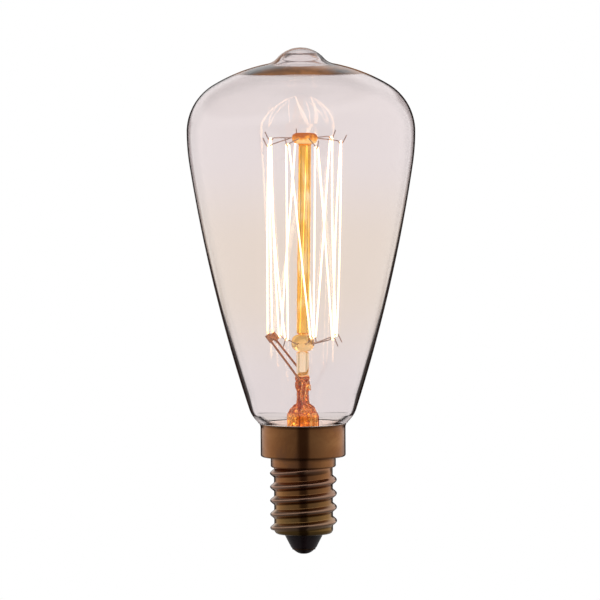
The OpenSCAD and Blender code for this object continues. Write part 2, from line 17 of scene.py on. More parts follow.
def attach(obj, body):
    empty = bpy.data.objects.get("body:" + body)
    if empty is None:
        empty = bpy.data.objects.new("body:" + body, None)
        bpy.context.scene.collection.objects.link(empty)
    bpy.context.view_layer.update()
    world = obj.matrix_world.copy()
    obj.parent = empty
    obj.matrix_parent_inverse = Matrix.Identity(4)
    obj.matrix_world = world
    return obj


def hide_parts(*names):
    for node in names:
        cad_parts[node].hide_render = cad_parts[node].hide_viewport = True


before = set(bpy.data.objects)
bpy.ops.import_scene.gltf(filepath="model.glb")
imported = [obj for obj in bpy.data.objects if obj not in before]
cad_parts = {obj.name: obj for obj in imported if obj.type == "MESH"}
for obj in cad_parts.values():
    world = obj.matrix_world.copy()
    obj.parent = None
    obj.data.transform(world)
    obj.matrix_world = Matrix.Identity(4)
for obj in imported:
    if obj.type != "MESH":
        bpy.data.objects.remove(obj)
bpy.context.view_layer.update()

logging.basicConfig(level=logging.INFO, format="%(name)s: %(message)s")
LOG = logging.getLogger("bulb")

MM = 0.001
TAU = 2 * math.pi
BODY = "root"
# The setting that a second word in a node's kind stands for.
MODES = {
    "Math": "operation",
    "VectorMath": "operation",
    "MapRange": "interpolation_type",
    "Mix": "data_type",
    "Attribute": "attribute_name",
    "GeometryNodeCurveSplineType": "spline_type",
    "GeometryNodeResampleCurve": "mode",
}

Points = np.ndarray
Faces = list[tuple[int, ...]]
Pair = tuple[float, float]
Triple = tuple[float, float, float]
Colour = tuple[float, float, float, float]
Rows = list[tuple[Any, ...]]


def linear(hex_colour: str) -> Colour:
    """Turns an sRGB hex colour into the linear colour that the shaders take.

    Args:
        hex_colour: six hex digits, without a leading sign.

    Returns:
        Linear red, green and blue, and an alpha of 1.
    """
    parts = [int(hex_colour[i : i + 2], 16) / 255 for i in (0, 2, 4)]
    red, green, blue = (c / 12.92 if c <= 0.04045 else ((c + 0.055) / 1.055) ** 2.4 for c in parts)
    return red, green, blue, 1.0


def add(tree: bpy.types.NodeTree, kind: str, sockets: Any = (), stops: Any = (), **settings: Any) -> bpy.types.Node:
    """Adds a node with its settings and links.

    Args:
        tree: the node tree that takes the node.
        kind: Blender's name of the type, without ShaderNode where it starts with that. A second word is the setting
            that MODES names.
        sockets: a value or another node's output for each input, as a dict by name or number, or one after another
            for the inputs in use.
        stops: position and colour of each stop, where the node is a colour ramp.
        settings: the node's other properties.

    Returns:
        The new node.
    """
    kind, _, mode = kind.partition(" ")
    node = tree.nodes.new(kind if "Node" in kind else f"ShaderNode{kind}")
    if mode:
        settings[MODES[kind]] = mode
    for name, value in settings.items():
        setattr(node, name, value)
    if not isinstance(sockets, dict):
        sockets = dict(zip([i for i, socket in enumerate(node.inputs) if socket.enabled], sockets))
    for key, value in sockets.items():
        if isinstance(value, bpy.types.NodeSocket):
            tree.links.new(value, node.inputs[key])
        else:
            node.inputs[key].default_value = value
    for i, (position, colour) in enumerate(stops):
        elements = node.color_ramp.elements
        if i == 0:
            elements.remove(elements[1])
        element = elements[0] if i == 0 else elements.new(position)
        element.position, element.color = position, colour
    return node


def chain(tree: bpy.types.NodeTree, rows: Rows, **known: Any) -> Any:
    """Adds the nodes of a table, where each row may use what the rows above it made.

    Args:
        tree: the node tree that takes the nodes.
        rows: for each node its name, its kind and its inputs, as add takes them. A kind may stand in a pair with more
            settings. An input is a value, the name of a node for its first output in use, or name.Output.
        known: outputs from outside the table, by the names that its rows have for them.

    Returns:
        The last node's first output in use, or None where it has none.
    """

    def find(term: Any) -> Any:
        """Looks up one input of a row.

        Args:
            term: a value, or the name of a node or an output.

        Returns:
            What the term names, or the term itself where it is a value.
        """
        name, _, output = term.partition(".") if isinstance(term, str) else (None, "", "")
        if name not in known:
            return term
        node = known[name]
        if not isinstance(node, bpy.types.Node):
            return node
        return node.outputs[output] if output else next((socket for socket in node.outputs if socket.enabled), None)

    for name, kind, *terms in rows:
        kind, more = kind if isinstance(kind, tuple) else (kind, {})
        if terms and isinstance(terms[0], dict):
            sockets: Any = {key: find(term) for key, term in terms[0].items()}
        else:
            sockets = [find(term) for term in terms]
        known[name] = add(tree, kind, sockets, **more)
    return find(rows[-1][0])


def new_material(name: str, rows: Rows) -> bpy.types.Material:
    """Makes a material from the table of its nodes.

    Args:
        name: the material's name.
        rows: its nodes, as chain takes them.

    Returns:
        The material.
    """
    material = bpy.data.materials.new(name)
    material.use_nodes = True
    material.node_tree.nodes.clear()
    if rows:
        chain(material.node_tree, rows)
    return material


def waves(points: Points, size: float, seed: int) -> Points:
    """Smooth uneven values over space, from a fixed set of sine waves.

    Args:
        points: places in millimetres, one row each.
        size: distance between neighbouring bumps.
        seed: picks the waves.

    Returns:
        One value for each point, mostly between -1 and 1.
    """
    count = 9
    random = np.random.default_rng(seed)
    ways = random.normal(size=(count, 3))
    ways *= (TAU / (2 * size) * random.uniform(0.7, 1.4, count) / np.linalg.norm(ways, axis=1))[:, None]
    return np.sin(points @ ways.T + random.uniform(0, TAU, count)).sum(1) / 4


def arc(centre: Any, radius: float, start: float, end: float, count: int) -> Points:
    """Points of a circular arc in the plane of a profile.

    Args:
        centre: the circle's centre, as distance from the axis and height.
        radius: the circle's radius.
        start: first angle in degrees.
        end: last angle in degrees.
        count: number of points.

    Returns:
        The points, one row each.
    """
    angles = np.radians(np.linspace(start, end, count))
    return np.stack([centre[0] + radius * np.cos(angles), centre[1] + radius * np.sin(angles)], 1)


def upright(reach: float, low: float, high: float, count: int) -> Points:
    """A straight upright run of profile points, at one distance from the axis."""
    return np.stack([np.full(count, reach), np.linspace(low, high, count)], 1)


def angle_between(start: Points, end: Points) -> float:
    """Direction from one profile point to another, in degrees."""
    return math.degrees(math.atan2(end[1] - start[1], end[0] - start[0]))


def meet(centre_a: Points, reach_a: float, centre_b: Points, reach_b: float) -> Points:
    """Where two circles meet, on the left of the way from the first centre to the second.

    Args:
        centre_a: the first circle's centre.
        reach_a: the first circle's radius.
        centre_b: the second circle's centre.
        reach_b: the second circle's radius.

    Returns:
        The meeting point.
    """
    apart = np.linalg.norm(centre_b - centre_a)
    along = (reach_a**2 - reach_b**2 + apart**2) / (2 * apart)
    way = (centre_b - centre_a) / apart
    return centre_a + along * way + math.sqrt(reach_a**2 - along**2) * np.array([-way[1], way[0]])


def profile(*runs: Any) -> Points:
    """Joins runs of profile points and leaves out those that repeat the one before.

    Args:
        runs: arrays or lists of points, as distance from the axis and height.

    Returns:
        One array of points.
    """
    points = np.concatenate([np.asarray(run, float).reshape(-1, 2) for run in runs])
    steps = np.linalg.norm(np.diff(points, axis=0), axis=1)
    return points[np.concatenate([[True], steps > 1e-4])]


def lathe(outline: Points, sides: int, closed: bool = False) -> tuple[Points, Faces]:
    """Turns a profile round the upright axis.

    Args:
        outline: profile points from the bottom to the top on an outer face. A point on the axis makes a pole.
        sides: faces round the axis.
        closed: whether the profile's last point is joined to its first, as on a wall with two faces.

    Returns:
        The vertices and the faces.
    """
    turns = np.arange(sides) * TAU / sides
    vertices: list[Points] = []
    rings: list[Points] = []
    count = 0
    for radius, height in outline:
        pole = radius < 1e-6
        ring = np.array([[0.0, 0.0, height]])
        if not pole:
            ring = np.stack([radius * np.cos(turns), radius * np.sin(turns), np.full(sides, height)], 1)
        vertices.append(ring)
        rings.append(np.full(sides, count) if pole else count + np.arange(sides))
        count += len(ring)
    faces: Faces = []
    for low, high in list(zip(rings[:-1], rings[1:])) + ([(rings[-1], rings[0])] if closed else []):
        for i in range(sides):
            corners = (low[i], low[(i + 1) % sides], high[(i + 1) % sides], high[i])
            faces.append(tuple(int(c) for c in dict.fromkeys(corners)))
    return np.concatenate(vertices), faces


def new_object(name: str, vertices: Points, faces: Faces, edges: Faces | None = None) -> bpy.types.Object:
    """Makes an object at the origin from points in millimetres.

    Args:
        name: the object's name.
        vertices: points in millimetres.
        faces: corner numbers of each face.
        edges: end numbers of each loose edge.

    Returns:
        The object, in the scene.
    """
    mesh = bpy.data.meshes.new(name)
    mesh.from_pydata((np.asarray(vertices) * MM).tolist(), edges or [], faces)
    mesh.update()
    made = bpy.data.objects.new(name, mesh)
    bpy.context.scene.collection.objects.link(made)
    return made


def store(made: bpy.types.Object, name: str, values: Points) -> None:
    """Keeps one value for each vertex under a name that a node tree reads."""
    made.data.attributes.new(name, "FLOAT", "POINT").data.foreach_set("value", values.astype(np.float32))


def per_vertex(mesh: bpy.types.Mesh, what: str) -> Points:
    """Reads the places or the normals of a mesh's vertices.

    Args:
        mesh: the mesh.
        what: "co" for places in metres, or "normal".

    Returns:
        One row for each vertex.
    """
    values = np.empty(len(mesh.vertices) * 3, np.float32)
    mesh.vertices.foreach_get(what, values)
    return values.reshape(-1, 3)


def evaluated(made: bpy.types.Object) -> None:
    """Applies all modifiers of an object to its mesh and removes them.

    Args:
        made: the object.
    """
    graph = bpy.context.evaluated_depsgraph_get()
    graph.update()
    mesh = bpy.data.meshes.new_from_object(made.evaluated_get(graph), preserve_all_data_layers=True, depsgraph=graph)
    made.modifiers.clear()
    old, made.data = made.data, mesh
    mesh.name = made.name
    bpy.data.meshes.remove(old)


def finish_piece(
    made: bpy.types.Object, material: bpy.types.Material, replaced: tuple[str, ...], sharp_deg: float = 40
) -> None:
    """Dresses a piece, joins it to the lamp's body and reports it.

    Args:
        made: the piece, with its final mesh.
        material: its finish.
        replaced: the CAD nodes that the piece stands for.
        sharp_deg: edges that turn more than this stay sharp.
    """
    mesh = made.data
    mesh.materials.clear()
    mesh.materials.append(material)
    mesh.shade_smooth()
    mesh.set_sharp_from_angle(angle=math.radians(sharp_deg))
    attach(made, BODY)
    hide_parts(*replaced)
    LOG.info("%s: %d faces, stands for %s", made.name, len(mesh.polygons), ", ".join(replaced))


def dress_node(name: str, material: bpy.types.Material) -> None:
    """Gives a CAD node that stays a finish of its own.

    Args:
        name: the node's name.
        material: its finish.
    """
    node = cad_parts[name]
    node.data.materials.clear()
    node.data.materials.append(material)
    LOG.info("%s: CAD node, dressed as %s", name, material.name)


class NodeRecipe:
    """A Geometry Nodes tree that is built once, run on a piece and taken off again."""

    def __init__(self, name: str, inputs: dict[str, str], rows: Rows) -> None:
        """Builds the tree, which ends with smooth shading, real geometry in place of instances, and the material.

        Args:
            name: the tree's name.
            inputs: the kind of each named input.
            rows: the tree's own nodes, as chain takes them. They read its inputs from "in", and the last makes the
                geometry.
        """
        self.tree = bpy.data.node_groups.new(name, "GeometryNodeTree")
        face = self.tree.interface
        for way in ("INPUT", "OUTPUT"):
            face.new_socket("Geometry", in_out=way, socket_type="NodeSocketGeometry")
        self.identifiers = {
            label: face.new_socket(label, in_out="INPUT", socket_type=f"NodeSocket{kind}").identifier
            for label, kind in {**inputs, "Finish": "Material"}.items()
        }
        end = [
            ("smooth", "GeometryNodeSetShadeSmooth", rows[-1][0]),
            ("real", "GeometryNodeRealizeInstances", "smooth"),
            ("dressed", "GeometryNodeSetMaterial", {"Geometry": "real", "Material": "in.Finish"}),
            ("result", "NodeGroupOutput", "dressed"),
        ]
        chain(self.tree, [("in", "NodeGroupInput"), *rows, *end])

    def run(self, made: bpy.types.Object, material: bpy.types.Material, **values: Any) -> None:
        """Runs the tree on an object and keeps the result as a plain mesh.

        Args:
            made: the object.
            material: the finish that the tree sets.
            values: a value for each input, by its name with _ for a space.
        """
        modifier = made.modifiers.new(self.tree.name, "NODES")
        modifier.node_group = self.tree
        for label, value in {**values, "Finish": material}.items():
            modifier[self.identifiers[label.replace("_", " ")]] = value
        evaluated(made)


# Glass blown in a mould from soda-lime melt: smooth and hard, nearly clear face on, dark where the eye looks along it,
# partly by painted shade.
@dataclass(frozen=True)
class BlownGlass:
    """The envelope's glass: faintly smoky, with a painted warm glow beside the filament, and a painted golden glow in
    patches where the crown is thick.
    """

    colour: str = "FBF8F8"
    painted_warmth: str = "FBF7F4"  # painted light: the wall beside the filament is tinted with its warm glow
    painted_warmth_z: float = 59.0
    painted_warmth_reach: Pair = (24.0, 4.0)  # distances from that height at which the painted warmth ends, and is full
    trapped: str = "4A3A34"  # painted shade: the glass's colour where it mirrors strongly, for what is left of light that the wall's faces throw back and forth, as at the dark edges
    grazing_shade_from: Pair = (0.5, 0.9)  # how strongly the face mirrors where that sets in, and where it is full
    passed: str = "F7F4F3"  # light that goes straight through
    smoke: str = "6B5D58"  # what the wall keeps of the light on a long way through it
    smoke_per_mm: float = 0.04
    caught: str = "D08A4A"  # painted glow: the filament's light that the thick crown catches, in patches
    caught_strength: float = 0.5
    caught_z: Pair = (98.0, 99.0)
    patch_mm: float = 7.0
    patch_from: Pair = (0.38, 0.62)
    wetted_z: float = 28.9  # the cement wets the glass below this height, so its face is lost
    wetted_facing: Pair = (0.74, 0.58)  # it is lost only where the wall is seen nearer to face on than this
    ior: float = 1.52

    def material(self) -> bpy.types.Material:
        """Makes clear glass that lets the filament's light through to what stands inside it.

        Returns:
            The material.
        """
        rows = [
            ("mirror", "Fresnel", {"IOR": self.ior}),
            ("trapped", "MapRange", "mirror", *self.grazing_shade_from),
            ("place", "TexCoord"),
            ("at", "SeparateXYZ", "place.Object"),
            # Painted warm glow of the filament on the wall, strongest at its height.
            ("off", "Math SUBTRACT", "at.Z", self.painted_warmth_z * MM),
            ("off", "Math ABSOLUTE", "off"),
            ("warm", "MapRange SMOOTHSTEP", "off", *(reach * MM for reach in self.painted_warmth_reach)),
            ("tone", "Mix RGBA", "warm", linear(self.colour), linear(self.painted_warmth)),
            # Painted shade: the glass's colour darkens where it mirrors strongly.
            ("tone", "Mix RGBA", "trapped", "tone", linear(self.trapped)),
            ("glass", "BsdfGlass", {"Color": "tone", "Roughness": 0.0, "IOR": self.ior}),
            ("clouds", "TexNoise", "place.Object", 1 / (self.patch_mm * MM), 3.0),
            ("patch", "MapRange", "clouds", *self.patch_from),
            ("crown", "MapRange", "at.Z", *(height * MM for height in self.caught_z)),
            ("power", "Math MULTIPLY", "trapped", "crown"),
            ("power", "Math MULTIPLY", "power", "patch"),
            ("power", "Math MULTIPLY", "power", self.caught_strength),
            # Painted glow on the thick crown, in patches.
            ("caught", "Emission", linear(self.caught), "power"),
            ("lit", "AddShader", "glass", "caught"),
            ("low", "Math LESS_THAN", "at.Z", self.wetted_z * MM),
            ("facing", "LayerWeight", {"Blend": 0.5}),
            ("front", "MapRange", "facing.Facing", *self.wetted_facing),
            ("wetted", "Math MULTIPLY", "low", "front"),
            ("path", "LightPath"),
            ("open", "Math MAXIMUM", "wetted", "path.Is Shadow Ray"),
            ("passed", "BsdfTransparent", linear(self.passed)),
            ("both", "MixShader", "open", "lit", "passed"),
            ("smoke", "VolumeAbsorption", linear(self.smoke), self.smoke_per_mm / MM),
            ("out", "OutputMaterial", {"Surface": "both", "Volume": "smoke"}),
        ]
        return new_material("blown_soda_lime_glass", rows)


# Lead glass drawn or pressed soft, next to the filament: the glow that it gathers is painted light, golden inside and
# deeper orange along its edges.
@dataclass(frozen=True)
class LitLeadGlass:
    """Glass of the rod or the stem, with an amber depth and streaks that stand for the filament's glow, and a painted
    glow in layers where a button was pressed on.
    """

    name: str
    # The amber depth and the glow's tones and strengths below are the filament's light, painted into the glass.
    amber: str = "EEC444"
    amber_per_mm: float = 0.14
    middle: str = "C4A010"
    rim: str = "945C0C"
    middle_strength: float = 0.2
    rim_strength: float = 0.34
    ripple_mm: float = 2.2
    ripple: float = 0.2
    clear: str = "FFFFFF"
    glow_streak: str = "F2CC50"  # painted glow: streaks in which the glass takes the glow's colour
    glow_streak_mm: float = 1.4
    glow_streak_from: Pair = (0.3, 0.55)
    glow_streak_least: float = 0.75  # share of the painted glow streaks where the glass is seen face on
    glow_streak_z: Pair = (41.0, 46.0)  # heights between which the painted glow streaks set in
    glint_strength: float = 0.0  # strength of the painted glints in its uneven skin
    glint_from: Pair = (0.6, 0.72)
    passed: str = "F6E6D2"  # light that goes straight through
    # Painted glow of the upper button: a colour for each depth in its melt layers, yellow low down and deep
    # orange-brown at its top.
    layers: tuple[tuple[float, str], ...] = ((0.45, "FAD088"), (0.65, "F4A040"), (0.95, "B05C22"))
    layers_uneven: float = 2.4
    layers_strength: float = 1.3
    ior: float = 1.56

    def material(self) -> bpy.types.Material:
        """Makes clear glass with an amber depth, and a painted glow that is deeper towards its edges.

        Returns:
            The material.
        """
        melted = {"stops": [(position, linear(colour)) for position, colour in self.layers]}
        rows = [
            ("place", "TexCoord"),
            ("at", "SeparateXYZ", "place.Object"),
            ("uneven", "TexNoise", "place.Object", 1 / (self.ripple_mm * MM), 3.0, 0.55),
            ("bump", "Bump", {"Strength": self.ripple, "Distance": 0.05 * MM, "Height": "uneven"}),
            ("facing", "LayerWeight", {"Blend": 0.5, "Normal": "bump"}),
            ("edge", "MapRange SMOOTHSTEP", "facing.Facing", 0.15, 0.8),
            # The streaks are five times as long as they are wide.
            ("long", "VectorMath MULTIPLY", "place.Object", (1, 1, 0.2)),
            # Painted glow streaks, stronger where the glass is seen edge on.
            ("streaks", "TexNoise", "long", 1 / (self.glow_streak_mm * MM), 2.0, 0.6),
            ("stained", "MapRange", "streaks", *self.glow_streak_from),
            ("more", "Math MULTIPLY_ADD", "edge", 1 - self.glow_streak_least, self.glow_streak_least),
            ("stained", "Math MULTIPLY", "stained", "more"),
            ("here", "MapRange", "at.Z", *(height * MM for height in self.glow_streak_z)),
            ("stained", "Math MULTIPLY", "stained", "here"),
            ("tone", "Mix RGBA", "stained", linear(self.clear), linear(self.glow_streak)),
            ("glass", "BsdfGlass", {"Color": "tone", "Roughness": 0.0, "IOR": self.ior, "Normal": "bump"}),
            # Painted glow: emission in the glass, weaker face on and stronger at its edges.
            ("glow", "MapRange", "edge", 0.0, 1.0, self.middle_strength, self.rim_strength),
            ("glint", "MapRange", "uneven", *self.glint_from, 0.0, self.glint_strength),
            ("power", "Math ADD", "glow", "glint"),
            ("warm", "Mix RGBA", "edge", linear(self.middle), linear(self.rim)),
            ("light", "Emission", "warm", "power"),
            ("lit", "AddShader", "glass", "light"),
            ("melt", "Attribute melt"),
            ("shift", "Math MULTIPLY_ADD", "uneven", self.layers_uneven, -self.layers_uneven / 2),
            ("depth", "Math ADD", "melt.Fac", "shift"),
            ("layers", ("ValToRGB", melted), "depth"),
            # Painted glow in the upper button's melt layers.
            ("gathered", "Emission", "layers", self.layers_strength),
            ("much", ("Math MULTIPLY", {"use_clamp": True}), "melt.Fac", 1.5),
            ("lit", "MixShader", "much", "lit", "gathered"),
            ("path", "LightPath"),
            ("passed", "BsdfTransparent", linear(self.passed)),
            ("both", "MixShader", "path.Is Shadow Ray", "lit", "passed"),
            ("amber", "VolumeAbsorption", linear(self.amber), self.amber_per_mm / MM),
            ("out", "OutputMaterial", {"Surface": "both", "Volume": "amber"}),
        ]
        return new_material(self.name, rows)


ROD_GLASS = LitLeadGlass("lit_rod_glass")
STEM_GLASS = LitLeadGlass(
    "lit_stem_glass",
    amber="FF9A3C",
    middle="FFB040",
    rim="B05004",
    middle_strength=0.02,
    rim_strength=0.16,
    ripple_mm=0.8,
    ripple=0.7,
    clear="FFF2D4",
    glow_streak="B4641C",
    glow_streak_mm=1.0,
    glow_streak_from=(0.45, 0.52),
    glow_streak_least=0.2,
    glow_streak_z=(20.0, 21.0),
    glint_strength=2.2,
)


# Sheet brass, deep-drawn and chemically aged: satin, cloudy brown, and paler on the thread's crests.
@dataclass(frozen=True)
class AgedBrass:
    """The shell's finish, with fine lines from drawing that run round it and painted shade in its grooves."""

    bright: str = "A37248"
    brown: str = "92613C"
    plum: str = "7E563E"
    gold: str = "9B8048"
    gold_z: Pair = (15.0, 5.0)  # the patina turns golden from the first height down to the second
    gold_share: float = 0.6
    crest_tone: str = "AC8A7A"
    crest_tone_share: float = 0.7
    # Painted shade under the collar, along its rim and at its lower end.
    painted_shade: str = "20140F"
    roughness: float = 0.17
    cloud_mm: float = 7.0
    grain_mm: float = 0.35
    line_mm: float = 0.12  # drawn coarser than real ones, or they wouldn't show

    def material(self) -> bpy.types.Material:
        """Makes metal with a cloudy patina, drawing lines, paler crests and painted shade in its grooves.

        Returns:
            The material.
        """
        stops = [(0.34, linear(self.plum)), (0.5, linear(self.brown)), (0.68, linear(self.bright))]
        cloudy = {"Scale": 1 / (self.cloud_mm * MM), "Detail": 5.0, "Roughness": 0.6, "Distortion": 0.4}
        metal = {"Base Color": "tone", "Metallic": 1.0}
        rows = [
            ("place", "TexCoord"),
            ("at", "SeparateXYZ", "place.Object"),
            ("clouds", "TexNoise", {"Vector": "place.Object", **cloudy}),
            ("grain", "TexNoise", "place.Object", 1 / (self.grain_mm * MM), 2.0, 0.5),
            # Drawing lines run round the shell, so this noise is read by height alone.
            ("level", "CombineXYZ", {"Z": "at.Z"}),
            ("lines", "TexNoise", "level", 1 / (self.line_mm * MM), 2.0, 0.7),
            ("patina", ("ValToRGB", {"stops": stops}), "clouds"),
            ("low", "MapRange", "at.Z", *(height * MM for height in self.gold_z), 0.0, self.gold_share),
            ("tone", "Mix RGBA", "low", "patina", linear(self.gold)),
            ("crest", "Attribute crest"),
            ("worn", "Math MULTIPLY", "crest.Fac", self.crest_tone_share),
            ("tone", "Mix RGBA", "worn", "tone", linear(self.crest_tone)),
            # Painted shade: darker under the collar, along its rim and at its lower end.
            ("groove", "Attribute groove"),
            ("tone", "Mix RGBA", "groove.Fac", "tone", linear(self.painted_shade)),
            ("rough", "MapRange", "clouds", 0.3, 0.7, self.roughness + 0.07, self.roughness - 0.05),
            ("fine", "Math MULTIPLY", "lines", 0.5),
            ("relief", "Math ADD", "grain", "fine"),
            ("bump", "Bump", {"Strength": 0.12, "Distance": 0.02 * MM, "Height": "relief"}),
            ("metal", "BsdfPrincipled", {**metal, "Roughness": "rough", "Normal": "bump"}),
            ("out", "OutputMaterial", {"Surface": "metal"}),
        ]
        return new_material("aged_drawn_brass", rows)


@dataclass(frozen=True)
class CastSurface:
    """A plain dull or glossy surface with cloudy tone and fine grain: black glass, solder, cement or small metal."""

    name: str
    dark: str
    light: str
    metallic: float
    roughness: float
    cloud_mm: float
    grain_mm: float
    relief: float
    lit: float = 0.0  # strength of a painted glow in its own tone, for light that soaks into it from behind

    def material(self) -> bpy.types.Material:
        """Makes one shader whose colour, gloss and relief vary with the grain.

        Returns:
            The material.
        """
        stops = [(0.35, linear(self.dark)), (0.7, linear(self.light))]
        surface = {"Base Color": "tone", "Metallic": self.metallic, "Roughness": "rough", "Normal": "bump"}
        rows = [
            ("place", "TexCoord"),
            ("clouds", "TexNoise", "place.Object", 1 / (self.cloud_mm * MM), 4.0, 0.6),
            ("grain", "TexNoise", "place.Object", 1 / (self.grain_mm * MM), 3.0, 0.6),
            ("tone", ("ValToRGB", {"stops": stops}), "clouds"),
            ("rough", "MapRange", "grain", 0.3, 0.7, self.roughness * 0.85, self.roughness * 1.15),
            ("bump", "Bump", {"Strength": self.relief, "Distance": 0.05 * MM, "Height": "grain"}),
            # Painted glow, in the surface's own tone.
            ("surface", "BsdfPrincipled", {**surface, "Emission Color": "tone", "Emission Strength": self.lit}),
            ("out", "OutputMaterial", {"Surface": "surface"}),
        ]
        return new_material(self.name, rows)


# Poured and pressed black glass: nearly black with a brown cast, and glossy.
VITRITE = CastSurface("black_vitrite_glass", "2A1D21", "3C2B30", 0.0, 0.32, 2.5, 0.5, 0.15)
# Tin solder that set in the air: dull grey-brown and pitted, with a soft shine.
SOLDER = CastSurface("oxidised_tin_solder", "3A3032", "5E5454", 0.6, 0.45, 0.9, 0.22, 0.5)
# Baked lamp cement: pale, chalky and rough, with a painted glow for the light that soaks in.
CEMENT = CastSurface("fired_lamp_cement", "DAD6D2", "ECE9E6", 0.0, 0.85, 1.5, 0.2, 0.8, 1.1)
# Stamped sheet brass, tarnished: dark brown with a soft shine.
EYELET = CastSurface("tarnished_brass_eyelet", "2A1E18", "5A4030", 0.9, 0.4, 1.0, 0.2, 0.3)


class WireMetal(Enum):
    """The metals of the lamp's wires: name, dark and light tone, how bare the metal is, and roughness."""

    # Drawn and annealed molybdenum: soft grey with a rosy sheen.
    MOLYBDENUM = ("annealed_molybdenum_wire", "9A7C74", "C8A89C", 0.4, 0.38)
    # Drawn nickel-iron: satin, with the filament's light painted in as a copper-brown tone.
    NICKEL = ("nickel_iron_lead_wire", "9A5C3C", "CC8A60", 0.5, 0.34)
    # Drawn copper with a borax skin: glassy and deep red.
    COPPER = ("borated_copper_wire", "A02A10", "D84E24", 0.6, 0.3)

    def material(self) -> bpy.types.Material:
        """Drawn wire with tone that changes along it."""
        name, dark, light, metallic, roughness = self.value
        return CastSurface(name, dark, light, metallic, roughness, 0.8, 0.12, 0.2).material()


# Drawn tungsten wound in a coil, at white-orange heat: it shines too strongly for its own surface to show.
@dataclass(frozen=True)
class GlowingTungsten:
    """The filament's finish, a little cooler where the hooks draw heat away."""

    hot: str = "FFDEB4"
    cool: str = "FFBC70"
    strength: float = 6.0

    def material(self) -> bpy.types.Material:
        """Makes light alone, by the heat stored along the strand.

        Returns:
            The material.
        """
        rows = [
            ("heat", "Attribute glow"),
            ("tone", "Mix RGBA", "heat.Fac", linear(self.cool), linear(self.hot)),
            ("light", "Emission", "tone", self.strength),
            ("out", "OutputMaterial", {"Surface": "light"}),
        ]
        return new_material("glowing_tungsten_coil", rows)


